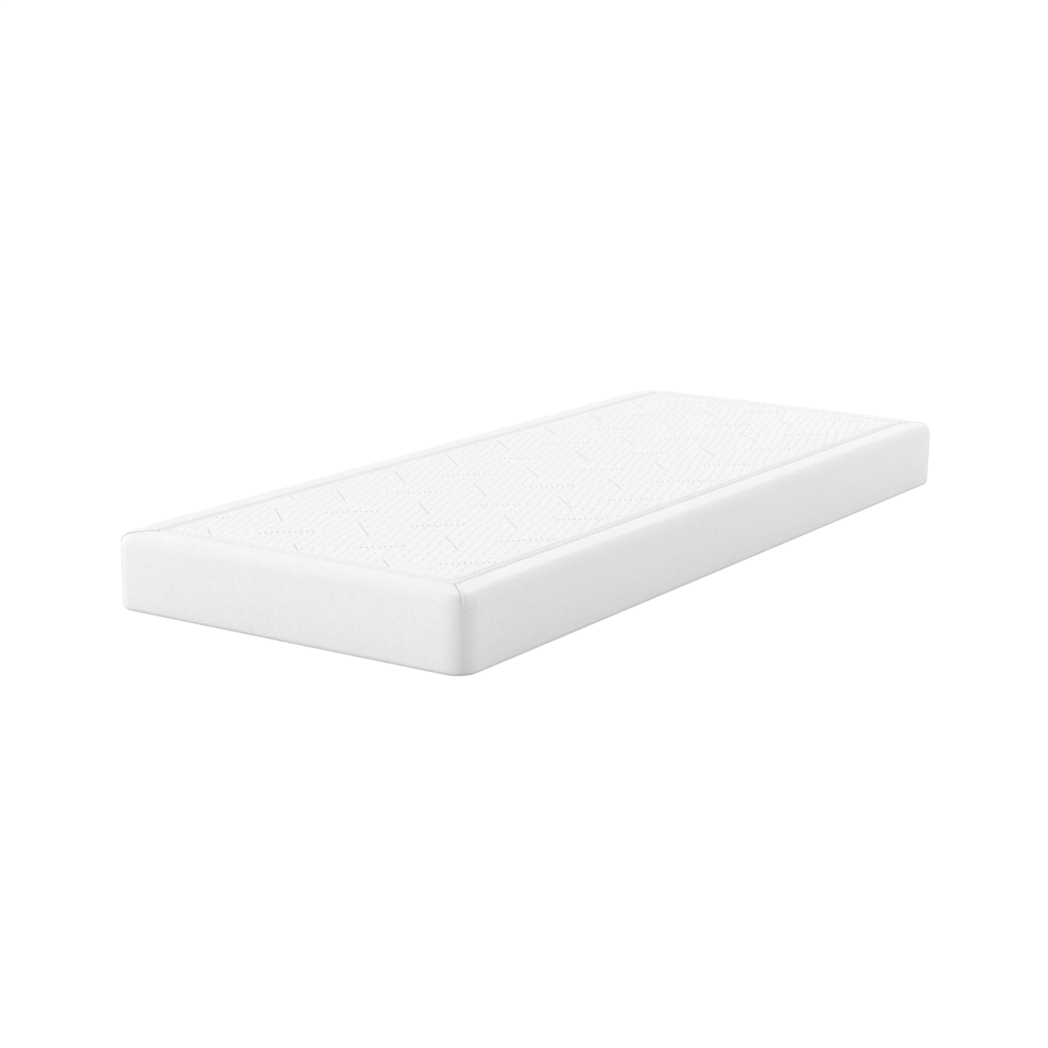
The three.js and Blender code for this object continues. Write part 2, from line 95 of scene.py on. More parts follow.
CORNER_DROOP_BROAD = 1 * MM     # the top sinks towards its corners, gently over a hand's breadth
DROOP_REACH_BROAD = 200 * MM
CORNER_DROOP_TIGHT = 4 * MM     # and more at the corners themselves
DROOP_REACH_TIGHT = 60 * MM

LIP_ROLL = 5 * MM           # the padded panel's edge, rolling down into the seam
LIP_DROP = 3.4 * MM
LIP_LOWER = 0.6 * MM        # the rolled edge lies a little lower than the panel
PANEL_CROWN = 1.0 * MM


def smooth(edge0, edge1, x):
    t = np.clip((x - edge0) / (edge1 - edge0), 0, 1)
    return t * t * (3 - 2 * t)


def bell(x, width):
    return np.exp(-((x / width) ** 2))


def settle(points):
    """The soft top sinks at its four corners; the underside stays where it is."""
    points = np.array(points, dtype=float)
    reach = np.hypot(HALF_LENGTH - np.abs(points[..., 0]), HALF_WIDTH - np.abs(points[..., 1]))
    droop = CORNER_DROOP_BROAD * bell(reach, DROOP_REACH_BROAD)
    droop += CORNER_DROOP_TIGHT * bell(reach, DROOP_REACH_TIGHT)
    points[..., 2] -= droop * np.clip(points[..., 2] / FACE_Z, 0, 1)
    return points


def ripple(u, v, wavelength, seed):
    """A smooth irregular wave over two coordinates, between about -1 and 1."""
    random = np.random.RandomState(seed)
    total = np.zeros(np.broadcast(u, v).shape)
    for _ in range(6):
        angle = random.uniform(0, 2 * math.pi)
        k = 2 * math.pi / (wavelength * random.uniform(0.7, 1.6))
        phase = random.uniform(0, 2 * math.pi)
        total = total + np.sin(k * (u * math.cos(angle) + v * math.sin(angle)) + phase)
    return total / 3.5


# ---- Making pieces ----------------------------------------------------------------------------------


CREASE = math.radians(60)


def add(name, shape, slot, stands_for=(), **attributes):
    """Adds a piece in its slot's finish; one that stands for a CAD node gets a name of its own."""
    points, faces = shape
    if name in stands_for:
        name += "_shape"
    mesh = bpy.data.meshes.new(name)
    points = np.asarray(points, dtype=float).reshape(-1, 3)
    mesh.from_pydata(points.tolist(), [], [list(map(int, face)) for face in faces])
    form = bmesh.new()
    form.from_mesh(mesh)
    bmesh.ops.recalc_face_normals(form, faces=form.faces)
    form.to_mesh(mesh)
    form.free()
    for key, values in attributes.items():
        values = np.asarray(values, dtype=np.float32)
        flat = values.size == len(points)
        layer = mesh.attributes.new(key, "FLOAT" if flat else "FLOAT_VECTOR", "POINT")
        layer.data.foreach_set("value" if flat else "vector", values.ravel())
    mesh.shade_smooth()
    mesh.set_sharp_from_angle(angle=CREASE)
    mesh.materials.append(FINISH[slot])
    piece = bpy.data.objects.new(name, mesh)
    bpy.context.collection.objects.link(piece)
    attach(piece, "mattress")
    if stands_for:
        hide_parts(*stands_for)
    return piece


def quads(rows, cols, first=0):
    """The faces of a grid of points that are numbered row by row, starting from first."""
    i, j = np.mgrid[0:rows - 1, 0:cols - 1]
    a = (first + i * cols + j).reshape(-1)
    return np.stack([a, a + cols, a + cols + 1, a + 1], axis=-1)


def rim(rows, cols):
    """The indices of a grid's edge, once round."""
    top = [j for j in range(cols - 1)]
    right = [i * cols + cols - 1 for i in range(rows - 1)]
    bottom = [(rows - 1) * cols + j for j in range(cols - 1, 0, -1)]
    left = [i * cols for i in range(rows - 1, 0, -1)]
    return np.array(top + right + bottom + left)


def shell(outer, inner):
    """A closed sheet between two grids of points of the same size."""
    rows, cols = outer.shape[:2]
    count = rows * cols
    edge = rim(rows, cols)
    after = np.roll(edge, -1)
    sides = np.stack([edge, after, after + count, edge + count], axis=-1)
    points = np.concatenate([outer.reshape(-1, 3), inner.reshape(-1, 3)])
    faces = np.concatenate([quads(rows, cols), quads(rows, cols, count)[:, ::-1], sides])
    return points, faces


def sweep(spine, across, up, section, loop=False):
    """A section, given as (across, up) pairs, carried along a spine of points."""
    section = np.asarray(section, dtype=float)
    ring = spine[:, None] + section[None, :, :1] * across[:, None] + section[None, :, 1:] * up[:, None]
    return tube(ring, loop)


def tube(ring, loop=False):
    """A closed surface through rings of points, shape (rings, points in a ring, 3)."""
    n, m = ring.shape[:2]
    i, j = np.mgrid[0:n if loop else n - 1, 0:m]
    here, there = i * m, (i + 1) % n * m
    faces = np.stack([here + j, here + (j + 1) % m, there + (j + 1) % m, there + j], axis=-1).reshape(-1, 4)
    faces = faces.tolist()
    if not loop:
        faces.append(list(range(m))[::-1])
        faces.append(list(range((n - 1) * m, n * m)))
    return ring.reshape(-1, 3), faces


def full_turn(count):
    """That many angles once round."""
    return np.linspace(0, 2 * math.pi, count + 1)[:-1]


def oval(half_width, half_height, count):
    """The section of a cord, for sweep."""
    turn = full_turn(count)
    return np.stack([half_width * np.cos(turn), half_height * np.sin(turn)], axis=-1)


def repeat(points, faces, places):
    """Copies of one small closed mesh, each moved by one of the places."""
    points, places = np.asarray(points), np.asarray(places)
    shifted = (places[:, None] + points[None]).reshape(-1, 3)
    faces = [[v + k * len(points) for v in face] for k in range(len(places)) for face in faces]
    return shifted, faces


def rounded(u, v, half_x, half_y, radius):
    """Maps the square -1..1 onto a rectangle with rounded corners."""
    x, y = np.abs(u) * half_x, np.abs(v) * half_y
    p = np.clip((x - half_x + radius) / radius, 0, 1)
    q = np.clip((y - half_y + radius) / radius, 0, 1)
    inside = (p > 0) & (q > 0)
    x = np.where(inside, half_x - radius + radius * p * np.sqrt(1 - q * q / 2), x)
    y = np.where(inside, half_y - radius + radius * q * np.sqrt(1 - p * p / 2), y)
    return x * np.sign(u), y * np.sign(v)


def block(half_x, half_y, radius, profile, nx, ny, top=None, bottom=None):
    """A closed block whose edges follow a profile of (inset, height) pairs from its top face to its bottom.

    top and bottom are heights added to its two faces, as functions of X and Y.
    """
    u, v = np.meshgrid(np.linspace(-1, 1, nx + 1), np.linspace(-1, 1, ny + 1), indexing="ij")
    edge = rim(nx + 1, ny + 1)

    def layer(inset, z, bump=None):
        x, y = rounded(u, v, half_x - inset, half_y - inset, max(radius - inset, 1 * MM))
        height = np.full_like(x, z) if bump is None else z + bump(x, y)
        return np.stack([x, y, height], axis=-1).reshape(-1, 3)

    count = (nx + 1) * (ny + 1)
    faces = quads(nx + 1, ny + 1).tolist()
    points = [layer(*profile[0], top)]
    ring = edge
    total = count
    for inset, z in profile[1:-1]:
        points.append(layer(inset, z)[edge])
        new_ring = total + np.arange(len(edge))
        faces += np.stack([ring, np.roll(ring, -1), np.roll(new_ring, -1), new_ring], axis=-1).tolist()
        ring = new_ring
        total += len(edge)
    points.append(layer(*profile[-1], bottom))
    new_ring = total + edge
    faces += np.stack([ring, np.roll(ring, -1), np.roll(new_ring, -1), new_ring], axis=-1).tolist()
    faces += quads(nx + 1, ny + 1, total)[:, ::-1].tolist()
    return np.concatenate(points), faces


def edge_profile(bottom, top, top_r, bottom_r, steps):
    """(inset, height) pairs down a block's side, round at the top and the bottom."""
    turn = np.linspace(math.pi / 2, 0, steps + 1)
    pairs = [(top_r * (1 - math.cos(t)), top - top_r * (1 - math.sin(t))) for t in turn]
    pairs += [(bottom_r * (1 - math.cos(t)), bottom + bottom_r * (1 - math.sin(t))) for t in turn[::-1]]
    return pairs


# ---- Materials --------------------------------------------------------------------------------------


class Finish:
    """A material built from nodes. Inputs are numbers or the sockets of other nodes."""

    def __init__(self, name, color, roughness, sheen=0.0, metallic=0.0, coords="cloth"):
        self.material = bpy.data.materials.new(name)
        self.material.use_nodes = True
        self.tree = self.material.node_tree
        self.shader = self.tree.nodes["Principled BSDF"]
        self.shader.inputs["Base Color"].default_value = (*color, 1)
        self.shader.inputs["Roughness"].default_value = roughness
        self.shader.inputs["Metallic"].default_value = metallic
        self.shader.inputs["Sheen Weight"].default_value = sheen
        self.shader.inputs["Sheen Roughness"].default_value = 0.5
        self.shader.inputs["Specular IOR Level"].default_value = 0.25 if metallic == 0 else 0.5
        self.color = color
        if coords == "object":
            self.place = self.node("TexCoord", output=3)
        else:
            self.place = self.node("Attribute", output=1, attribute_name=coords)

    def node(self, kind, *inputs, output=0, **settings):
        made = self.tree.nodes.new("ShaderNode" + kind)
        for key, value in settings.items():
            setattr(made, key, value)
        for socket, value in zip(made.inputs, inputs):
            self.feed(socket, value)
        return made.outputs[output]

    def feed(self, socket, value):
        if isinstance(value, bpy.types.NodeSocket):
            self.tree.links.new(value, socket)
        elif value is not None:
            socket.default_value = value

    def math(self, operation, a, b=0.0):
        return self.node("Math", a, b, operation=operation)

    def add(self, a, b):
        return self.math("ADD", a, b)

    def times(self, a, b):
        return self.math("MULTIPLY", a, b)

    def scaled(self, x, y, z=1.0):
        return self.node("VectorMath", self.place, (x, y, z), operation="MULTIPLY")

    def noise(self, x, y, z=1.0, detail=2.0):
        """Noise with that many waves per metre in each direction, from 0 to 1."""
        made = self.tree.nodes.new("ShaderNodeTexNoise")
        self.feed(made.inputs["Vector"], self.scaled(x, y, z))
        made.inputs["Scale"].default_value = 1.0
        made.inputs["Detail"].default_value = detail
        return made.outputs[0]

    def attribute(self, name):
        return self.node("Attribute", output=2, attribute_name=name)

    def axes(self):
        split = self.tree.nodes.new("ShaderNodeSeparateXYZ")
        self.feed(split.inputs[0], self.place)
        return split.outputs

    def waves(self, socket, pitch, phase=0.0):
        turned = self.add(self.times(socket, 2 * math.pi / pitch), phase)
        return self.math("SINE", turned)

    def weave(self, pitch):
        """Threads over and under each other, from -1 to 1."""
        x, y, _ = self.axes()
        return self.times(self.waves(x, 2 * pitch), self.waves(y, 2 * pitch))

    def ribs(self, pitch):
        """Columns of knitted stitches, from -1 to 1."""
        x, y, _ = self.axes()
        loops = self.waves(y, pitch * 0.8)
        return self.waves(x, pitch, self.times(loops, 0.9))

    def range(self, value, from_low, from_high, to_low, to_high):
        return self.node("MapRange", value, from_low, from_high, to_low, to_high, clamp=True)

    def shade(self, factor):
        """Multiplies the colour by a grey that varies over the surface."""
        mixed = self.tree.nodes.new("ShaderNodeVectorMath")
        mixed.operation = "SCALE"
        mixed.inputs[0].default_value = self.color
        self.feed(mixed.inputs["Scale"], factor)
        self.tree.links.new(mixed.outputs[0], self.shader.inputs["Base Color"])

    def bump(self, height, distance, strength=1.0):
        made = self.tree.nodes.new("ShaderNodeBump")
        made.inputs["Strength"].default_value = strength
        made.inputs["Distance"].default_value = distance
        self.feed(made.inputs["Height"], height)
        self.tree.links.new(made.outputs[0], self.shader.inputs["Normal"])


def border_finish():
    """A plain woven fabric with slubs in both directions, like fine linen."""
    f = Finish("border_fabric", (0.905, 0.905, 0.905), 0.92, sheen=0.12)
    along = f.noise(70, 560)
    upright = f.noise(560, 70)
    tufts = f.noise(230, 230)
    cloud = f.noise(9, 9, detail=3.0)
    slubs = f.add(f.times(along, 0.5), f.times(upright, 0.5))
    tone = f.add(f.range(slubs, 0.36, 0.64, 0.955, 1.035), f.range(cloud, 0.3, 0.7, -0.006, 0.006))
    tone = f.add(tone, f.range(tufts, 0.3, 0.7, -0.025, 0.025))
    # painted shade: the border's colour is darkened along the corner seams by the seam attribute
    tone = f.add(tone, f.times(f.attribute("seam"), -0.055))
    f.shade(tone)
    threads = f.add(f.times(slubs, 1.6), f.times(f.weave(0.7 * MM), 0.25))
    f.bump(f.add(threads, f.times(tufts, 1.2)), 0.4 * MM, 0.9)
    return f.material


def knit_finish():
    """A fine double knit; the stitched pattern's dots and lines are painted greyer, as painted shade for the
    hollows they lie in.
    """
    f = Finish("face_knit", (0.92, 0.92, 0.92), 0.9, sheen=0.15)
    mark = f.range(f.attribute("stitch"), 0.1, 0.6, 0.0, 1.0)
    line = f.range(f.attribute("line"), 0.5, 1.0, 0.0, 1.0)
    fuzz = f.noise(260, 260, detail=3.0)
    tufts = f.noise(110, 110)
    tone = f.add(f.range(fuzz, 0.3, 0.7, 0.97, 1.02), f.range(tufts, 0.3, 0.7, -0.02, 0.02))
    # painted shade: the pattern's dots and lines are darkened as shade in their stitched hollows
    tone = f.add(tone, f.times(f.add(mark, line), -0.5))
    # painted shade: the rolled edge outside the line of stitching is painted a little darker
    tone = f.add(tone, f.times(f.attribute("lip"), -0.03))
    f.shade(tone)
    f.bump(f.add(f.times(f.ribs(1.3 * MM), 0.5), f.times(fuzz, 0.8)), 0.25 * MM, 0.7)
    return f.material


def fibre_finish(name, color, roughness, waves, tone, depth, sheen=0.0, detail=2.0, strength=1.0):
    """A material of one noise: its waves per metre in X, Y and Z, and its darkest and palest tone."""
    f = Finish(name, color, roughness, sheen=sheen, coords="object")
    fibres = f.noise(*waves, detail=detail)
    f.shade(f.range(fibres, 0.3, 0.7, *tone))
    f.bump(fibres, depth, strength)
    return f.material


def foam_finish(name, color, cells):
    f = Finish(name, color, 0.95, sheen=0.1, coords="object")
    pores = f.tree.nodes.new("ShaderNodeTexVoronoi")
    f.feed(pores.inputs["Vector"], f.place)
    pores.inputs["Scale"].default_value = cells
    depth = pores.outputs["Distance"]
    f.shade(f.range(depth, 0.0, 0.7, 0.88, 1.03))
    f.bump(depth, 0.6 * MM)
    return f.material


def sleeve_finish():
    f = Finish("sleeve_knit", (0.87, 0.87, 0.85), 0.92, sheen=0.1, coords="object")
    ribs = f.ribs(1.6 * MM)
    f.shade(f.range(ribs, -1.0, 1.0, 0.93, 1.02))
    f.bump(ribs, 0.3 * MM)
    return f.material


def underside_finish():
    f = Finish("underside_fabric", (0.72, 0.72, 0.725), 0.85, coords="object")
    cloth = f.weave(0.9 * MM)
    cloud = f.range(f.noise(120, 120), 0.3, 0.7, -0.03, 0.03)
    f.shade(f.add(f.range(cloth, -1.0, 1.0, 0.95, 1.02), cloud))
    f.bump(cloth, 0.25 * MM)
    return f.material


def tape_finish():
    """Herringbone tape."""
    f = Finish("zip_tape", (0.86, 0.86, 0.865), 0.85, coords="object")
    x, _, z = f.axes()
    slant = f.math("PINGPONG", f.times(z, 1 / (2.4 * MM)), 1.0)
    twill = f.waves(x, 0.9 * MM, f.times(slant, 6.0))
    f.shade(f.range(twill, -1.0, 1.0, 0.92, 1.02))
    f.bump(twill, 0.15 * MM)
    return f.material


def metal_finish():
    """Nickel-plated zinc with fine rubbing marks along the zip."""
    f = Finish("zip_metal", (0.66, 0.665, 0.67), 0.3, metallic=1.0, coords="object")
    rubbed = f.noise(300, 4000, 4000, detail=3.0)
    f.shade(f.range(rubbed, 0.3, 0.7, 0.93, 1.04))
    rough = f.range(f.noise(900, 900, 900), 0.3, 0.7, 0.22, 0.42)
    f.tree.links.new(rough, f.shader.inputs["Roughness"])
    f.bump(rubbed, 0.03 * MM)
    return f.material


FINISH = {
    "border_fabric": border_finish(),
    "face_knit": knit_finish(),
    "seam_thread": fibre_finish("seam_thread", (0.88, 0.88, 0.88), 0.75, (900, 900, 900), (0.94, 1.04),
                                0.2 * MM, sheen=0.1, strength=0.8),
    "wadding": fibre_finish("wadding", (0.93, 0.93, 0.93), 1.0, (300, 300, 300), (0.92, 1.03),
                            1.5 * MM, sheen=0.3, detail=6.0),
    "backing": fibre_finish("backing", (0.86, 0.86, 0.84), 0.95, (900, 900, 900), (0.9, 1.05),
                            0.2 * MM, detail=4.0),
    "memory_foam": foam_finish("memory_foam", (0.90, 0.86, 0.76), 900),
    "base_foam": foam_finish("base_foam", (0.78, 0.82, 0.88), 700),
    "sleeve_knit": sleeve_finish(),
    "underside_fabric": underside_finish(),
    "zip_tape": tape_finish(),
    "zip_coil": fibre_finish("zip_coil", (0.88, 0.88, 0.885), 0.4, (700, 700, 700), (0.95, 1.02),
                             0.05 * MM, detail=3.0),
    "zip_metal": metal_finish(),
    "label_fabric": fibre_finish("label_fabric", (0.91, 0.91, 0.91), 0.5, (200, 200, 2600), (0.96, 1.02),
                                 0.08 * MM, sheen=0.2),
}


# ---- Border: four sides of one fabric, mitred at the corners ------------------------------------------
#
# A border panel is a grid. Its columns run along the side, and round half of each corner. Its rows run
# from the top seam across the flat band, over the edge, down the wall and under the bottom.
# A row is (inset from the side, height, outward part of the normal, upward part of the normal).


def arc_rows(inset, z, radius, start, end, steps):
    """Rows round an arc, its angle measured in degrees from straight outwards towards straight up."""
    turn = np.radians(np.linspace(start, end, steps + 1))
    return [(inset - radius * math.cos(t), z + radius * math.sin(t), math.cos(t), math.sin(t)) for t in turn]


def line_rows(start, end, normal, steps):
    """Rows between two (inset, height) places, leaving out both ends."""
    t = np.linspace(0, 1, steps + 2)[1:-1]
    return [(*(np.array(start) * (1 - s) + np.array(end) * s), *normal) for s in t]


def upper_rows():
    """From the top seam to the start of the wall."""
    roll_z = BAND_Z - SEAM_ROLL_R
    rows = [(SEAM_INSET, SEAM_FLOOR, -1.0, 0.0)]
    rows += arc_rows(SEAM_INSET - SEAM_ROLL_R, roll_z, SEAM_ROLL_R, 180, 90, 5)
    rows += line_rows((SEAM_INSET - SEAM_ROLL_R, BAND_Z), (TOP_EDGE_R, BAND_Z), (0.0, 1.0), 9)
    rows += arc_rows(TOP_EDGE_R, BAND_Z - TOP_EDGE_R, TOP_EDGE_R, 90, 0, 10)
    return rows


def lower_rows():
    """From the end of the wall to the seam underneath."""
    rows = arc_rows(BOTTOM_EDGE_R, BOTTOM_EDGE_R, BOTTOM_EDGE_R, 0, -90, 7)
    end = HEM_INSET - HEM_ROLL_R
    rows += line_rows((BOTTOM_EDGE_R, 0), (end, 0), (0.0, -1.0), 0)
    rows += arc_rows(end, HEM_ROLL_R, HEM_ROLL_R, -90, -180, 3)
    rows.append((HEM_INSET, HEM_TOP, -1.0, 0.0))
    return rows


def fold_rows(edge_z, way):
    """The folded edge of the zip's opening. way is 1 above the zip and -1 below it."""
    rows = []
    for turn in np.radians(np.linspace(0, 180, 9)):
        inset = HEM_FOLD_R * (1 - math.cos(turn))
        z = edge_z + way * HEM_FOLD_R * (1 - math.sin(turn))
        rows.append((inset, z, math.cos(turn), -way * math.sin(turn)))
    for rise in (0.4, 1.0):
        rows.append((2 * HEM_FOLD_R, edge_z + way * (HEM_FOLD_R + rise * HEM_FOLD_DEPTH), -1.0, 0.0))
    return rows


WALL_TOP = BAND_Z - TOP_EDGE_R
WALL_BOTTOM = BOTTOM_EDGE_R
WALL_ROWS = 22
FACES_DOWN = -0.2           # rows whose normal points further down than this lie flat
COLUMN_PITCH = 7 * MM
CORNER_STEPS = 9            # columns round half of a corner

MITRE_DEPTH = 2.4 * MM
MITRE_REACH = 3.0 * MM
SEAM_SHADE_REACH = 7 * MM   # how far the painted shade along the corner seams reaches


def mitre_fade(z):
    """The corner seams stand out on top and sink into the fabric on the wall."""
    return smooth(BAND_Z - 36 * MM, BAND_Z - 6 * MM, z)


def corner_radius(inset):
    return np.maximum(CORNER_R - inset, SEAM_CORNER_R)


class Side:
    """One side of the mattress: its outward direction and its columns."""

    def __init__(self, out):
        self.out = np.array([*out, 0.0])
        self.along = np.array([-out[1], out[0], 0.0])
        self.half_along = abs(self.along[0]) * HALF_LENGTH + abs(self.along[1]) * HALF_WIDTH
        self.half_out = abs(self.out[0]) * HALF_LENGTH + abs(self.out[1]) * HALF_WIDTH
        self.straight = self.half_along - CORNER_R
        count = int(round(2 * self.straight / COLUMN_PITCH))
        middle = np.linspace(-self.straight, self.straight, count + 1)
        turn = np.linspace(0, math.pi / 4, CORNER_STEPS + 1)[1:]
        ends = np.full(CORNER_STEPS, self.straight)
        self.base = np.concatenate([-ends, middle, ends])
        self.turn = np.concatenate([-turn[::-1], np.zeros(count + 1), turn])

    def ring(self, inset):
        """Along and outward positions of a row, and the two parts of its outward direction."""
        inset = np.broadcast_to(inset, self.base.shape)
        radius = corner_radius(inset)
        straight = self.half_along - inset - radius
        shrink = (self.straight - straight) * smooth(self.straight - 0.2, self.straight, np.abs(self.base))
        base = self.base - np.sign(self.base) * shrink
        along = base + radius * np.sin(self.turn)
        outward = self.half_out - inset - radius + radius * np.cos(self.turn)
        return along, outward, np.sin(self.turn), np.cos(self.turn)

    def swell(self, along, z, inset):
        """How far the padded fabric stands out of its plain shape."""
        to_corner = self.half_along - np.abs(along)
        span = np.clip((z - WALL_BOTTOM) / (WALL_TOP - WALL_BOTTOM), 0, 1)
        full = 1 - 0.7 * bell(to_corner, 90 * MM)
        wall = SIDE_BULGE * np.sin(math.pi * span) ** 0.8 * full
        across = np.clip((SEAM_INSET - SEAM_ROLL_R - inset) / (SEAM_INSET - SEAM_ROLL_R - TOP_EDGE_R), 0, 1)
        band = np.where(z > WALL_TOP, BAND_CROWN * np.sin(math.pi * across), 0)
        soft = 0.45 * MM * ripple(along, z * 1.4, 260 * MM, 5) * (0.3 + 0.7 * np.sin(math.pi * span))
        near_seam = np.where(z > WALL_TOP, np.exp(-(SEAM_INSET - inset) / (9 * MM)), 0)
        pucker = 0.28 * MM * np.sin(2 * math.pi * along / (15 * MM) + 3 * ripple(along, z, 90 * MM, 8))
        return wall + band + soft + pucker * near_seam

    def mitre(self, along, outward, z):
        """The groove that a corner seam pulls into the border, deeper on the ends than on the long sides."""
        depth = MITRE_DEPTH if self.out[0] != 0 else 0.3 * MITRE_DEPTH
        return depth * bell(self.from_mitre(along, outward), MITRE_REACH) * mitre_fade(z)

    def from_mitre(self, along, outward):
        """Distance from the corner seam's line."""
        gap = (self.half_along - np.abs(along)) - (self.half_out - outward)
        return gap / math.sqrt(2)

    def grid(self, rows, damp=None):
        """Outer and inner grids of points for rows, and the attributes of both.

        damp is how much of the padding's swelling each row keeps, from 0 to 1.
        """
        damp = np.ones(len(rows)) if damp is None else damp
        outer, inner, cloth, seam = [], [], [], []
        length = np.zeros(self.base.shape)
        last = None
        for (inset, z, n_out, n_up), kept in zip(rows, damp):
            along, outward, turn_along, turn_out = self.ring(inset)
            z = np.broadcast_to(z, self.base.shape)
            amount = self.swell(along, z, np.broadcast_to(inset, self.base.shape))
            amount = amount * kept
            amount = amount - self.mitre(along, outward, z)
            if n_up < FACES_DOWN:
                amount = amount * 0
            side = along + amount * n_out * turn_along
            out = outward + amount * n_out * turn_out
            height = z + amount * n_up
            face = self.assemble(side, out, height)
            back_along = side - CLOTH_T * n_out * turn_along
            back_out = out - CLOTH_T * n_out * turn_out
            back = self.assemble(back_along, back_out, height - CLOTH_T * n_up)
            if last is not None:
                length = length + np.linalg.norm(face - last, axis=-1)
            last = face
            arc = self.along_cloth(along, inset)
            outer.append(face)
            inner.append(back)
            cloth.append(np.stack([arc, -length, np.zeros_like(arc)], axis=-1))
            # painted shade mask for the corner seams: strongest on the seam's line, on the walls only
            seam.append(bell(self.from_mitre(along, outward), SEAM_SHADE_REACH) * n_out ** 2)
        outer, inner, cloth, seam = map(np.array, (outer, inner, cloth, seam))
        both = {"cloth": np.concatenate([cloth.reshape(-1, 3)] * 2),
                "seam": np.concatenate([seam.ravel()] * 2)}
        return settle(outer), settle(inner), both

    def along_cloth(self, along, inset):
        """Positions along a row of the cloth, which runs round the corners."""
        turn = np.abs(self.turn)
        return along + corner_radius(inset) * (turn - np.sin(turn)) * np.sign(self.turn)

    def assemble(self, along, outward, z):
        return (along[:, None] * self.along + outward[:, None] * self.out
                + z[:, None] * np.array([0.0, 0.0, 1.0]))


def wall_rows(top, bottom, steps=WALL_ROWS):
    return [(0.0, top * (1 - t) + bottom * t, 1.0, 0.0) for t in np.linspace(0, 1, steps + 2)[1:-1]]


FRONT = Side((0.0, -1.0))
REAR = Side((0.0, 1.0))
FOOT = Side((-1.0, 0.0))
HEAD = Side((1.0, 0.0))


def whole_panel(name, side):
    rows = upper_rows() + wall_rows(WALL_TOP, WALL_BOTTOM) + lower_rows()
    outer, inner, marks = side.grid(rows)
    piece = add(name, shell(outer, inner), "border_fabric", [name], **marks)


CLOSED_HALF = 0.15 * MM     # half the gap where the two panels meet, past the opening's ends


def slot_edge(side, way):
    """Height of the opening's edge in each column, above the zip (way 1) or below it (-1)."""
    along = np.abs(side.ring(0.0)[0])
    opening = 1 - smooth(SLOT_HALF_LENGTH - SLOT_CLOSING, SLOT_HALF_LENGTH, along)
    return ZIP_Z + way * (CLOSED_HALF + (SLOT_HALF - CLOSED_HALF) * opening)


def kept_swelling(t):
    """How much the wall still swells, from its top (t = 0) to the zip (t = 1), where it lies flat."""
    return 1 - smooth(0.45, 1.0, t)


def rear_upper_panel():
    edge = slot_edge(REAR, 1)
    start = edge + HEM_FOLD_R
    above = upper_rows()
    wall = wall_rows(WALL_TOP, start, 18)
    fold = fold_rows(edge, 1)
    damp = [*np.ones(len(above)), *kept_swelling(np.linspace(0, 1, len(wall))), *np.zeros(len(fold))]
    outer, inner, marks = REAR.grid(above + wall + fold, damp)
    piece = add("side_panel_rear_upper", shell(outer, inner), "border_fabric",
                ["side_panel_rear_upper"], **marks)


def rear_lower_panel():
    edge = slot_edge(REAR, -1)
    start = edge - HEM_FOLD_R
    rows = fold_rows(edge, -1)[::-1] + wall_rows(start, WALL_BOTTOM, 4) + lower_rows()
    outer, inner, marks = REAR.grid(rows, np.zeros(len(rows)))
    piece = add("side_panel_rear_lower", shell(outer, inner), "border_fabric",
                ["side_panel_rear_lower"], **marks)


whole_panel("side_panel_front", FRONT)
whole_panel("side_panel_foot", FOOT)
whole_panel("side_panel_head", HEAD)
rear_upper_panel()
rear_lower_panel()


# ---- Corner seams -------------------------------------------------------------------------------------


SEAM_HALF_WIDTH = 1.5 * MM
SEAM_HALF_HEIGHT = 1.7 * MM
SEAM_OFFSET = 0.9 * MM      # the seam lies over towards the long side
SEAM_SINK = 2.2 * MM        # how deep it runs on the wall


def corner_seam(end_name, side_name, x_way, y_way):
    """The sewn edges along a corner's mitre: a ridge on top, sinking into the corner as it goes down."""
    past_top_seam = 6
    rows = upper_rows()[past_top_seam:] + wall_rows(WALL_TOP, WALL_BOTTOM, 16)
    rows += arc_rows(BOTTOM_EDGE_R, BOTTOM_EDGE_R, BOTTOM_EDGE_R, 0, -60, 4)
    across = np.array([1.0, -1.0, 0.0]) / math.sqrt(2)
    spine, up, size = [], [], []
    for inset, z, n_out, n_up in rows:
        radius = corner_radius(inset)
        corner = inset + radius * (1 - 1 / math.sqrt(2))
        normal = np.array([n_out / math.sqrt(2), n_out / math.sqrt(2), n_up])
        shown = mitre_fade(z)
        point = np.array([HALF_LENGTH - corner, HALF_WIDTH - corner, z])
        point -= SEAM_OFFSET * shown * across + SEAM_SINK * (1 - shown) * normal
        spine.append(point)
        up.append(normal)
        size.append(0.3 + 0.7 * shown)
    spine, up, size = map(np.array, (spine, up, size))
    section = oval(SEAM_HALF_WIDTH, SEAM_HALF_HEIGHT, 8)
    ring = (spine[:, None] + size[:, None, None] * (section[None, :, :1] * across
            + section[None, :, 1:] * up[:, None]))
    name = f"corner_seam_{end_name}_{side_name}"
    piece = add(name, tube(settle(ring * np.array([x_way, y_way, 1.0]))), "seam_thread", [name])


for end_name, x_way in [("foot", -1), ("head", 1)]:
    for side_name, y_way in [("front", -1), ("rear", 1)]:
        corner_seam(end_name, side_name, x_way, y_way)


# ---- Top panel ----------------------------------------------------------------------------------------

CELLS_X = 504               # cells of the panel's mesh, which its pattern follows
CELLS_Y = 180
EDGE_CELLS = np.array([0.0, 0.4, 0.9, 1.7, 2.9, 4.6, 7.0, 9.2, 11.2, 13.2]) * MM    # finer at its edge
LIP_END = 11.2 * MM         # a line of stitching sets off the panel's rolled edge
LIP_GROOVE = 1.2 * MM

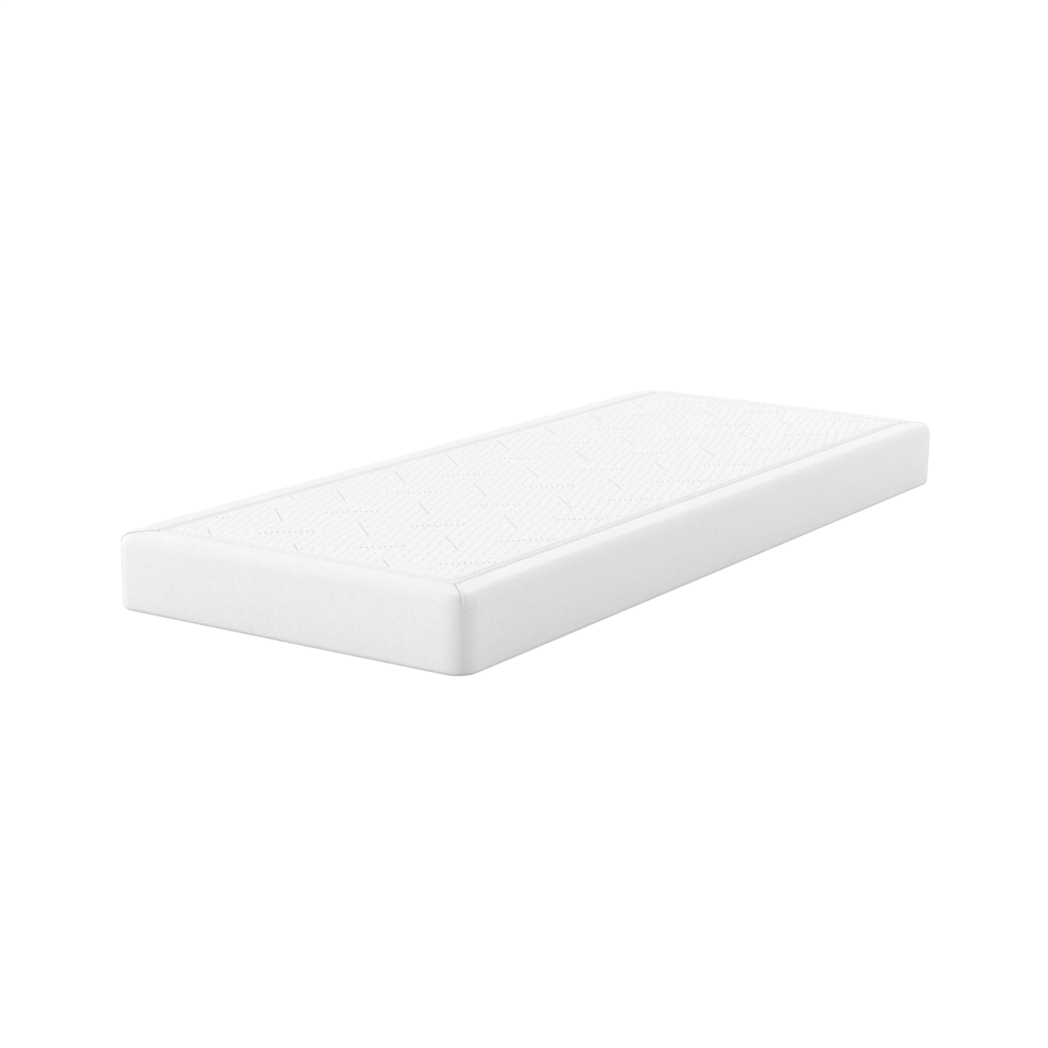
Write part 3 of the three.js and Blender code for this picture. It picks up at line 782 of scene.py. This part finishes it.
# The pattern: short solid lines and dotted ones on a lattice, over rows of fine dots.
LATTICE_START = np.array([-920.3, 223.3]) * MM
LATTICE_X = np.array([208.7, 7.1]) * MM
LATTICE_Y = np.array([-1.6, 201.8]) * MM
SOLID_STITCHES = 21
DOTTED_STITCHES = 10
LATTICE_ROWS = range(-3, 2)     # enough of it to cover the panel
LATTICE_COLS = range(-1, 11)
DOT_STEP = 4                # stitches between fine dots along a row
ROW_STEP = 5                # stitches between rows
DOT_PROFILE = (1.0, 0.75, 0.35, 0.45)    # strength of the stitches from one fine dot to the next
ROW_SLOPE = 0.33
UNEVENNESS = 0.35           # how much the fine dots differ in strength
LIP_STEP = 4                # every fourth stitch round the lip is a faint one
CLEAR_REACH = 2             # stitches on each side of a line that are left plain
DIMPLE = 0.75 * MM


def panel_grid():
    return axis_lines(PANEL_X, CELLS_X), axis_lines(PANEL_Y, CELLS_Y)


def axis_lines(half, cells):
    """Where the mesh's lines cross one axis: fine ones at both edges, even ones between."""
    edge = EDGE_CELLS[:-1]
    middle = half - EDGE_CELLS[-1]
    even = np.linspace(-middle, middle, cells + 1 - 2 * len(edge))
    return np.concatenate([-half + edge, even, (half - edge)[::-1]])


def from_edge(x, y):
    """Distance from the nearest edge of the panel."""
    return np.minimum(PANEL_X - np.abs(x), PANEL_Y - np.abs(y))


def panel_height(x, y):
    """The padded panel's smooth face."""
    edge = from_edge(x, y)
    t = np.clip((edge - EDGE_CELLS[1]) / LIP_ROLL, 0, 1)
    crown = PANEL_CROWN * np.cos(math.pi / 2 * x / PANEL_X) * np.cos(math.pi / 2 * y / PANEL_Y)
    roll = LIP_DROP * (1 - np.sqrt(1 - (1 - t) ** 2))
    lip = LIP_LOWER * (1 - smooth(LIP_END, 2 * LIP_END, edge))
    groove = LIP_GROOVE * np.clip(1 - np.abs(edge - LIP_END) / (2 * MM), 0, 1)
    wave = 0.3 * MM * ripple(x, y, 180 * MM, 21) * smooth(0, 60 * MM, edge)
    return FACE_Z - roll - lip - groove + crown + wave


FINE = 0.33                 # strengths of the pattern's marks
DOTTED = 0.9
LIP_STITCH = 0.42
LIP_FAINT = 0.3
SOLID = 0.95
SOLID_DIP = 0.6 * MM
PLAIN_CELLS = len(EDGE_CELLS) + 1


def stitch_map(xs, ys):
    """The strength of the pattern's dots and of its lines at each crossing of the mesh's lines."""
    marks = np.zeros((len(xs), len(ys)))
    lines = np.zeros((len(xs), len(ys)))
    i, j = np.mgrid[0:len(xs), 0:len(ys)]
    to_lattice = np.linalg.inv(np.stack([LATTICE_X, LATTICE_Y], axis=1))
    x, y = xs[i] - LATTICE_START[0], ys[j] - LATTICE_START[1]
    band = np.floor((to_lattice[0, 0] + to_lattice[1, 0]) * x + (to_lattice[0, 1] + to_lattice[1, 1]) * y)
    shift = np.where(band % 2 == 0, 0, DOT_STEP // 2)
    along = i - shift
    across = j - shift - np.round(ROW_SLOPE * along).astype(int)
    wear = 1 + UNEVENNESS * ripple(x, y, 35 * MM, 51)
    on_row = across % ROW_STEP == 0
    for place, strength in enumerate(DOT_PROFILE):
        dots = (along % DOT_STEP == place) & on_row
        marks[dots] = strength * FINE * wear[dots]
    for row in LATTICE_ROWS:
        for col in LATTICE_COLS:
            solid = LATTICE_START + col * LATTICE_X + row * LATTICE_Y
            dotted = solid + (LATTICE_X + LATTICE_Y) / 2
            clear(marks, xs, ys, solid, SOLID_STITCHES, 1)
            clear(marks, xs, ys, dotted, 2 * DOTTED_STITCHES, -1)
            draw(lines, xs, ys, solid, SOLID_STITCHES, 1, 1, SOLID)
            draw(marks, xs, ys, dotted, DOTTED_STITCHES, 2, -1, DOTTED)
    for pattern in (marks, lines):
        pattern[:PLAIN_CELLS] = pattern[-PLAIN_CELLS:] = 0
        pattern[:, :PLAIN_CELLS] = pattern[:, -PLAIN_CELLS:] = 0
    lip = int(np.argmin(np.abs(EDGE_CELLS - LIP_END)))
    sewn = np.where(np.arange(max(marks.shape)) % LIP_STEP == 0, LIP_FAINT, 1.0) * LIP_STITCH
    for line in (lip, -1 - lip):
        marks[line, lip:-lip] = sewn[:len(ys)][lip:-lip]
        marks[lip:-lip, line] = sewn[:len(xs)][lip:-lip]
    return marks, lines


def diagonal(xs, ys, centre, count, step, way):
    """The places of a diagonal run of stitches on the mesh."""
    i0 = int(np.argmin(np.abs(xs - centre[0])))
    j0 = int(np.argmin(np.abs(ys - centre[1])))
    start = -((count - 1) * step) // 2
    steps = [start + step * number for number in range(count)]
    places = [(i0 + k, j0 + way * k) for k in steps]
    margin = CLEAR_REACH + 2
    return [(i, j) for i, j in places if 0 < i < len(xs) - 1 and margin <= j < len(ys) - margin]


def draw(marks, xs, ys, centre, count, step, way, strength):
    for i, j in diagonal(xs, ys, centre, count, step, way):
        marks[i, j] = strength


def clear(marks, xs, ys, centre, count, way):
    """Takes the fine dots away beside a diagonal run."""
    for i, j in diagonal(xs, ys, centre, count, 1, way):
        marks[i, j - CLEAR_REACH:j + CLEAR_REACH + 1] = 0


def softened(marks):
    """Spreads each mark a little to its neighbours."""
    near = np.zeros_like(marks)
    for di, dj in [(1, 0), (-1, 0), (0, 1), (0, -1)]:
        near = np.maximum(near, np.roll(marks, (di, dj), (0, 1)))
    return np.maximum(marks, 0.3 * near)


def top_panel():
    xs, ys = panel_grid()
    x, y = np.meshgrid(xs, ys, indexing="ij")
    marks, lines = stitch_map(xs, ys)
    height = panel_height(x, y) - DIMPLE * softened(marks) - SOLID_DIP * lines
    outermost = np.zeros(x.shape, dtype=bool)
    outermost[[0, -1], :] = True
    outermost[:, [0, -1]] = True
    height = np.where(outermost, SEAM_FLOOR + 1 * MM, height)
    rx, ry = rounded(x / PANEL_X, y / PANEL_Y, PANEL_X, PANEL_Y, SEAM_CORNER_R)
    # painted shade mask: the rolled edge outside the line of stitching, darkened in face_knit
    lip = 1 - smooth(LIP_END - 0.5 * MM, LIP_END + 0.5 * MM, from_edge(x, y))
    face = np.stack([rx, ry, height], axis=-1)

    # Its back is a coarser grid, four stitches to a cell, joined to the face round the edge.
    step = 4
    cx, cy = rx[step:-step:step, step:-step:step], ry[step:-step:step, step:-step:step]
    back = np.stack([cx, cy, panel_height(cx, cy) - CLOTH_T], axis=-1)
    nx, ny = x.shape
    edge = rim(nx, ny)
    count = nx * ny
    # Turned-in edge: one more ring just inside the outermost one.
    ring = face.reshape(-1, 3)[edge] * np.array([1 - CLOTH_T / PANEL_X, 1 - CLOTH_T / PANEL_Y, 1.0])
    ring_start = count
    back_start = count + len(edge)
    here = np.arange(len(edge))
    after = (here + 1) % len(edge)
    faces = quads(nx, ny).tolist()
    faces += np.stack([edge, edge[after], ring_start + after, ring_start + here], axis=-1).tolist()
    bx, by = cx.shape
    inner_edge = back_start + rim(bx, by)
    faces += quads(bx, by, back_start)[:, ::-1].tolist()
    faces += bridge(nx, ny, bx, by, step, ring_start, inner_edge)
    points = settle(np.concatenate([face.reshape(-1, 3), ring, back.reshape(-1, 3)]))
    cloth = points * np.array([1.0, 1.0, 0.0])
    behind = np.zeros(len(ring) + back.size // 3)
    piece = add("top_panel_fabric", (points, faces), "face_knit", ["top_panel_fabric"], cloth=cloth,
                stitch=np.concatenate([marks.ravel(), behind]), line=np.concatenate([lines.ravel(), behind]),
                lip=np.concatenate([lip.ravel(), behind]))


def bridge(nx, ny, bx, by, step, ring_start, inner_edge):
    """Faces from the fine ring round the panel's edge to the coarse grid of its back."""
    order = [(ny - 1, by - 1), (nx - 1, bx - 1)] * 2
    faces = []
    fine, coarse = 0, 0
    total_fine = 2 * (nx - 1 + ny - 1)
    total_coarse = 2 * (bx - 1 + by - 1)
    for fine_count, coarse_count in order:
        # The fine side starts and ends one coarse cell beyond the coarse one.
        first = [ring_start + (fine + k) % total_fine for k in range(step + 1)]
        faces.append([*first, inner_edge[coarse % total_coarse]])
        for cell in range(coarse_count):
            start = fine + step * (cell + 1)
            outer = [ring_start + (start + k) % total_fine for k in range(step + 1)]
            a = inner_edge[(coarse + cell) % total_coarse]
            b = inner_edge[(coarse + cell + 1) % total_coarse]
            faces.append([*outer, b, a])
        end = fine + step * (coarse_count + 1)
        last = [ring_start + (end + k) % total_fine for k in range(step + 1)]
        faces.append([*last, inner_edge[(coarse + coarse_count) % total_coarse]])
        fine += fine_count
        coarse += coarse_count
    return faces


top_panel()


def panel_layers():
    lo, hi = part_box("top_panel_wadding")
    under_face = 2.4 * MM

    def wadding_top(x, y):
        lumps = 0.25 * MM * ripple(x, y, 40 * MM, 31)
        return panel_height(x, y) - FACE_Z + lumps

    profile = edge_profile(lo.z, FACE_Z - under_face, 0.8 * MM, 0.8 * MM, 3)
    points, faces = block(hi.x - 1.6 * MM, hi.y - 1.6 * MM, SEAM_CORNER_R, profile, 230, 80, top=wadding_top)
    shape = settle(lowered(points, lo.z)), faces
    wadding = add("top_panel_wadding", shape, "wadding", ["top_panel_wadding"])

    lo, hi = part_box("top_panel_backing")
    profile = edge_profile(lo.z, hi.z, 0.3 * MM, 0.3 * MM, 2)
    points, faces = block(hi.x, hi.y, SEAM_CORNER_R, profile, 120, 48)
    backing = add("top_panel_backing", (settle(points), faces), "backing", ["top_panel_backing"])


def lowered(points, floor):
    """Keeps a layer's side under the panel's shoulder."""
    points = points.copy()
    rim_points = from_edge(points[:, 0], points[:, 1]) < 3.2 * MM
    limit = FACE_Z - LIP_DROP - 1.6 * MM
    points[rim_points, 2] = np.minimum(points[rim_points, 2], limit)
    points[:, 2] = np.maximum(points[:, 2], floor)
    return points


panel_layers()


RING_PITCH = 8 * MM
RING_CORNER_STEPS = 6


def ring_path(inset, radius, z):
    """Points round a rounded rectangle, and the outward direction at each."""
    half_x, half_y = HALF_LENGTH - inset - radius, HALF_WIDTH - inset - radius
    points, out = [], []
    corners = [(half_x, half_y, 0), (-half_x, half_y, 90), (-half_x, -half_y, 180), (half_x, -half_y, 270)]
    for number, (cx, cy, start) in enumerate(corners):
        for angle in np.radians(np.linspace(start, start + 90, RING_CORNER_STEPS + 1)):
            direction = np.array([math.cos(angle), math.sin(angle), 0.0])
            points.append(np.array([cx, cy, z]) + radius * direction)
            out.append(direction)
        next_x, next_y, _ = corners[(number + 1) % 4]
        away = out[-1]
        a = points[-1]
        b = np.array([next_x, next_y, z]) + radius * away
        count = int(np.linalg.norm(b - a) / RING_PITCH)
        for t in np.linspace(0, 1, count + 1)[1:-1]:
            points.append(a * (1 - t) + b * t)
            out.append(away)
    return np.array(points), np.array(out)


def ring_piece(name, inset, radius, z, width, height, slot):
    path, out = ring_path(inset + width / 2, radius, z)
    up = np.tile([0.0, 0.0, 1.0], (len(path), 1))
    points, faces = sweep(path, out, up, oval(width / 2, height / 2, 10), loop=True)
    piece = add(name, (settle(points), faces), slot, [name])


PIPING_W = high("top_seam_piping").x - PANEL_X - 0.3 * MM
PIPING_TOP = BAND_Z - 2.8 * MM
ring_piece("top_seam_piping", SEAM_INSET, SEAM_CORNER_R, (SEAM_FLOOR + PIPING_TOP) / 2,
           PIPING_W, PIPING_TOP - SEAM_FLOOR, "seam_thread")
TAPE_W = 4 * MM
ring_piece("bottom_seam_tape", HEM_INSET + 0.3 * MM, CORNER_R - HEM_INSET, (HEM_TOP + 0.3 * MM) / 2,
           TAPE_W, HEM_TOP - 0.3 * MM, "seam_thread")


# ---- Underside ----------------------------------------------------------------------------------------


def bottom_panel():
    lo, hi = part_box("bottom_panel")
    grip = 0.8 * MM

    def quilting(x, y):
        return 0.25 * MM * (1 + ripple(x, y, 60 * MM, 41))

    profile = edge_profile(lo.z + grip, hi.z, 0.6 * MM, 0.6 * MM, 3)
    shape = block(hi.x, hi.y, CORNER_R - HEM_INSET, profile, 160, 64, bottom=quilting)
    piece = add("bottom_panel", shape, "underside_fabric", ["bottom_panel"])

    # Domes of soft plastic that keep the mattress from sliding.
    pitch = 22 * MM
    turn = full_turn(8)
    rings = [(2.4 * MM, grip + 0.6 * MM), (2.2 * MM, 0.35 * MM), (1.2 * MM, 0.0)]
    ring = np.array([[[r * math.cos(t), r * math.sin(t), z] for t in turn] for r, z in rings])
    dome = tube(ring)
    xs = np.arange(-hi.x + 2 * pitch, hi.x - 1.5 * pitch, pitch)
    ys = np.arange(-hi.y + 2 * pitch, hi.y - 1.5 * pitch, pitch)
    places = [(x + (k % 2) * pitch / 2, y, 0.0) for k, y in enumerate(ys) for x in xs]
    add("bottom_grip_dots", repeat(*dome, places), "underside_fabric")


bottom_panel()

# ---- Foams and sleeve ---------------------------------------------------------------------------------


SLEEVE_CORNER_R = CORNER_R - 9 * MM
FOAM_CORNER_R = SLEEVE_CORNER_R - 2 * MM


def foam(node, slot, top_r, bottom_r):
    lo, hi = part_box(node)
    profile = edge_profile(lo.z, hi.z, top_r, bottom_r, 8)
    points, faces = block(hi.x, hi.y, FOAM_CORNER_R, profile, 120, 50)
    piece = add(node, (settle(points), faces), slot, [node])


foam("memory_foam_layer", "memory_foam", 12 * MM, 1 * MM)
foam("base_foam_core", "base_foam", 1 * MM, 4 * MM)


def inner_sleeve():
    """A knitted tube over both foams, open at the head end."""
    lo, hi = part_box("inner_sleeve")
    steps = 8
    profile = edge_profile(lo.z, hi.z, 13 * MM, 5 * MM, steps)
    wall_top, wall_bottom = profile[steps][1], profile[steps + 1][1]
    middle = [(0.0, z) for z in np.linspace(wall_top, wall_bottom, 8)[1:-1]]
    profile = profile[:steps + 1] + middle + profile[steps + 1:]
    points, faces = block(hi.x, hi.y, SLEEVE_CORNER_R, profile, 120, 50)
    points = settle(points)
    mesh = bpy.data.meshes.new("inner_sleeve_form")
    mesh.from_pydata(points.tolist(), [], faces)
    shape = bmesh.new()
    shape.from_mesh(mesh)
    mouth = [f for f in shape.faces if f.calc_center_median().x > hi.x - 12 * MM
             and abs(f.calc_center_median().y) < hi.y - 40 * MM
             and lo.z + 14 * MM < f.calc_center_median().z < hi.z - 22 * MM]
    bmesh.ops.delete(shape, geom=mouth, context="FACES")
    bmesh.ops.recalc_face_normals(shape, faces=shape.faces)
    skin = 1.2 * MM
    bmesh.ops.solidify(shape, geom=shape.faces[:], thickness=skin)
    shape.to_mesh(mesh)
    shape.free()
    made = np.empty(len(mesh.vertices) * 3)
    mesh.vertices.foreach_get("co", made)
    piece = add("inner_sleeve", (made.reshape(-1, 3), [list(p.vertices) for p in mesh.polygons]),
                "sleeve_knit", ["inner_sleeve"])
    bpy.data.meshes.remove(mesh)


inner_sleeve()

# ---- Zip ----------------------------------------------------------------------------------------------


def zip_tape(side_name):
    node = f"zip_tape_{side_name}"
    lo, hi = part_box(node)
    xs = np.linspace(lo.x, hi.x, 300)
    zs = np.linspace(lo.z, hi.z, 9)
    x, z = np.meshgrid(xs, zs, indexing="ij")
    to_coil = np.abs(z - ZIP_Z) / (hi.z - lo.z)
    wave = 0.12 * MM * ripple(x, z, 50 * MM, 51) * to_coil
    outer = np.stack([x, np.full_like(x, hi.y) - 0.12 * MM + wave, z], axis=-1)
    inner = outer - np.array([0.0, hi.y - lo.y - 0.15 * MM, 0.0])
    piece = add(node, shell(outer, inner), "zip_tape", [node])


COIL_PITCH = 2 * MM


def zip_coil(side_name, way):
    """One half of the coil: a row of loops whose heads face the other half."""
    node = f"zip_coil_{side_name}"
    lo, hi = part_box(node)
    depth, tall = hi.y - lo.y, hi.z - lo.z
    head = ZIP_Z + way * 0.62 * MM
    tail = hi.z if way > 0 else lo.z
    wire = 0.36 * MM
    # One loop in the (y, z) plane: out over the front, round the head and back.
    outline = []
    for turn in np.radians(np.linspace(-90, 90, 7)):
        outline.append((depth / 2 * math.sin(turn), head + way * depth / 2 * (1 - math.cos(turn))))
    outline = [(-depth / 2, tail), *outline, (depth / 2, tail)]
    outline = np.array(outline)
    rings = []
    for k, (y, z) in enumerate(outline):
        before, after = outline[max(k - 1, 0)], outline[min(k + 1, len(outline) - 1)]
        direction = (after - before) / np.linalg.norm(after - before)
        normal = np.array([-direction[1], direction[0]])
        ring = []
        for turn in full_turn(6):
            off = normal * wire * math.cos(turn) * 0.8
            ring.append((1.6 * wire * math.sin(turn), (lo.y + hi.y) / 2 + y * 0.8 + off[0], z + off[1]))
        rings.append(ring)
    loop = tube(np.array(rings))
    shift = 0.0 if way > 0 else COIL_PITCH / 2
    xs = np.arange(lo.x + COIL_PITCH / 2 + shift, hi.x - COIL_PITCH / 2, COIL_PITCH)
    places = np.stack([xs, np.zeros_like(xs), np.zeros_like(xs)], axis=-1)
    add(node, repeat(*loop, places), "zip_coil", [node])


for side_name, way in [("lower", -1), ("upper", 1)]:
    zip_tape(side_name)
    zip_coil(side_name, way)


def keep_node(name, slot, bevel):
    """A CAD piece that is right as it is, with its edges broken and its metal finish."""
    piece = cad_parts[name]
    piece.data.materials.clear()
    piece.data.materials.append(FINISH[slot])
    edges = piece.modifiers.new("edges", "BEVEL")
    edges.width = bevel
    edges.segments = 2
    edges.limit_method = "ANGLE"
    edges.harden_normals = True


for node_name in ["zip_slider", "zip_pull_tab"]:
    keep_node(node_name, "zip_metal", 0.12 * MM)
for node_name in ["zip_top_stop_lower", "zip_top_stop_upper", "zip_bottom_stop"]:
    keep_node(node_name, "zip_metal", 0.3 * MM)


# ---- Stitching and label ------------------------------------------------------------------------------

STITCH_PITCH = 4.2 * MM
STITCH_LENGTH = 3.2 * MM
THREAD_R = 0.3 * MM


def stitch(direction, up, length=STITCH_LENGTH):
    """One stitch lying along a direction, its ends dipping into the cloth."""
    t = np.linspace(-1, 1, 6)
    spine = (t[:, None] * length / 2 * direction + (0.25 * MM * (1 - 2 * t[:, None] ** 4)) * up)
    across = np.tile(np.cross(up, direction), (len(t), 1))
    ups = np.tile(up, (len(t), 1))
    return sweep(spine, across, ups, oval(THREAD_R, THREAD_R, 6))


def zip_stitching(side_name, way):
    """The seam that holds a tape to the folded edge of the opening."""
    out = np.array([0.0, 1.0, 0.0])
    one = stitch(np.array([1.0, 0.0, 0.0]), out)
    xs = np.arange(-SLOT_HALF_LENGTH + 10 * MM, SLOT_HALF_LENGTH - 10 * MM, STITCH_PITCH)
    z = ZIP_Z + way * (SLOT_HALF + 4.5 * MM)
    places = np.stack([xs, np.full_like(xs, HALF_WIDTH + 0.05 * MM), np.full_like(xs, z)], axis=-1)
    add(f"zip_stitching_{side_name}", repeat(*one, places), "seam_thread")


for side_name, way in [("lower", -1), ("upper", 1)]:
    zip_stitching(side_name, way)


def rear_surface(x, z):
    """Y of the rear wall's face above the zip."""
    start = ZIP_Z + SLOT_HALF + HEM_FOLD_R
    t = np.clip((WALL_TOP - z) / (WALL_TOP - start), 0, 1)
    return HALF_WIDTH + REAR.swell(-x, z, np.zeros_like(x)) * kept_swelling(t)


def care_label():
    """A blank ribbon label, sewn down at both ends."""
    lo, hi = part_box("care_label")
    x, z = np.meshgrid(np.linspace(lo.x, hi.x, 41), np.linspace(lo.z, hi.z, 29), indexing="ij")
    across = (x - lo.x) / (hi.x - lo.x)
    ribbon = 0.35 * MM
    lift = 0.25 * MM + 0.9 * MM * np.sin(math.pi * across) ** 2 * (0.5 + 0.5 * ripple(x, z, 35 * MM, 61))
    outer = np.stack([x, rear_surface(x, z) + lift + ribbon, z], axis=-1)
    inner = outer - np.array([0.0, ribbon, 0.0])
    label = add("care_label", shell(outer, inner), "label_fabric", ["care_label"])

    one = stitch(np.array([0.0, 0.0, 1.0]), np.array([0.0, 1.0, 0.0]), 2.4 * MM)
    places = []
    for x0 in (lo.x + 2 * MM, hi.x - 2 * MM):
        for z0 in np.arange(lo.z + 2 * MM, hi.z - 1 * MM, 3.2 * MM):
            y = float(rear_surface(np.array([x0]), np.array([z0]))[0])
            places.append((x0, y + 0.75 * MM, z0))
    add("care_label_stitching", repeat(*one, places), "seam_thread")


care_label()

# ---- Studio -------------------------------------------------------------------------------------------


def seen_or_lighting(tree, seen, lighting):
    """One shader for what the camera sees directly, and another for the light that a surface gives."""
    path = tree.nodes.new("ShaderNodeLightPath")
    mix = tree.nodes.new("ShaderNodeMixShader")
    tree.links.new(path.outputs["Is Camera Ray"], mix.inputs[0])
    tree.links.new(lighting, mix.inputs[1])
    tree.links.new(seen, mix.inputs[2])
    return mix.outputs[0]


def shader_node(tree, kind, level, strength=None):
    made = tree.nodes.new("ShaderNode" + kind)
    made.inputs[0].default_value = (level, level, level, 1)
    if strength is not None:
        made.inputs[1].default_value = strength
    return made.outputs[0]


def floor():
    """A pale floor that blends into the background, with a faint shadow under the mattress."""
    size = 400.0
    corners = [(-size, -size, 0), (size, -size, 0), (size, size, 0), (-size, size, 0)]
    mesh = bpy.data.meshes.new("floor")
    mesh.from_pydata(corners, [], [(0, 1, 2, 3)])
    plane = bpy.data.objects.new("floor", mesh)
    plane.location.z = -0.5 * MM
    bpy.context.collection.objects.link(plane)
    paint = bpy.data.materials.new("floor")
    paint.use_nodes = True
    tree = paint.node_tree
    tree.nodes.remove(tree.nodes["Principled BSDF"])
    glow = shader_node(tree, "Emission", 1.0, FLOOR_GLOW)
    faint = shader_node(tree, "BsdfDiffuse", FLOOR_SHADOW)
    both = tree.nodes.new("ShaderNodeAddShader")
    tree.links.new(glow, both.inputs[0])
    tree.links.new(faint, both.inputs[1])
    bounce = shader_node(tree, "BsdfDiffuse", FLOOR_BOUNCE)
    result = seen_or_lighting(tree, both.outputs[0], bounce)
    tree.links.new(result, tree.nodes["Material Output"].inputs["Surface"])
    mesh.materials.append(paint)


def sky():
    world = bpy.data.worlds.new("studio")
    world.use_nodes = True
    tree = world.node_tree
    light = tree.nodes["Background"]
    light.inputs[1].default_value = SKY_LIGHT
    light.inputs[0].default_value = (1.0, 1.0, 1.0, 1)
    white = shader_node(tree, "Background", 1.0, 1.0)
    result = seen_or_lighting(tree, white, light.outputs[0])
    tree.links.new(result, tree.nodes["World Output"].inputs["Surface"])
    bpy.context.scene.world = world


def soft_light(name, toward, level, spread):
    """Light from one direction. level is the brightness that it gives a white surface facing it."""
    lamp = bpy.data.lights.new(name, "SUN")
    lamp.energy = level * math.pi
    lamp.angle = math.radians(spread)
    made = bpy.data.objects.new(name, lamp)
    made.rotation_mode = "QUATERNION"
    made.rotation_quaternion = Vector(toward).to_track_quat("Z", "Y")
    bpy.context.collection.objects.link(made)


def soft_box(name, place, watts):
    """A round soft box, two metres across, aimed at the mattress."""
    lamp = bpy.data.lights.new(name, "AREA")
    lamp.shape = "DISK"
    lamp.size = 2.0
    lamp.energy = watts
    made = bpy.data.objects.new(name, lamp)
    made.location = place
    made.rotation_mode = "QUATERNION"
    made.rotation_quaternion = Vector(place).to_track_quat("Z", "Y")
    made.visible_camera = False
    bpy.context.collection.objects.link(made)


FLOOR_GLOW = 0.88
FLOOR_SHADOW = 0.2
FLOOR_BOUNCE = 0.66
SKY_LIGHT = 0.69


def lights():
    """A bright sky, three soft lights from the foot end, the front and the rear, and two soft boxes."""
    sky()
    soft_light("foot_light", (-0.8, 0.55, 0.2), 0.31, 25)
    soft_light("front_light", (0.62, -0.75, 0.2), 0.17, 25)
    soft_light("back_light", (0.45, 0.6, 0.66), 0.31, 50)
    soft_box("foot_box", (-2.6, 1.6, 1.2), 5)
    soft_box("front_box", (3.2, -2.4, 1.2), 19)


def camera():
    azimuth, elevation, roll = map(math.radians, (-57.39, 13.139, 0.84))
    distance, pan_x, pan_y = 5.019, -0.104, 0.0286
    back = Vector((math.sin(azimuth) * math.cos(elevation),
                   -math.cos(azimuth) * math.cos(elevation), math.sin(elevation)))
    right = Vector((math.cos(azimuth), math.sin(azimuth), 0.0))
    up = back.cross(right)
    across = math.cos(roll) * right + math.sin(roll) * up
    upward = math.cos(roll) * up - math.sin(roll) * right
    lens = bpy.data.cameras.new("camera")
    lens.sensor_width = 36
    lens.lens = 80.56
    lens.clip_end = 1000
    eye = bpy.data.objects.new("camera", lens)
    place = back * distance + across * pan_x + upward * pan_y
    turn = Matrix((across, upward, back)).transposed().to_4x4()
    eye.matrix_world = Matrix.Translation(place) @ turn
    bpy.context.collection.objects.link(eye)
    bpy.context.scene.camera = eye


floor()
lights()
camera()
bpy.context.scene.view_settings.view_transform = "Standard"
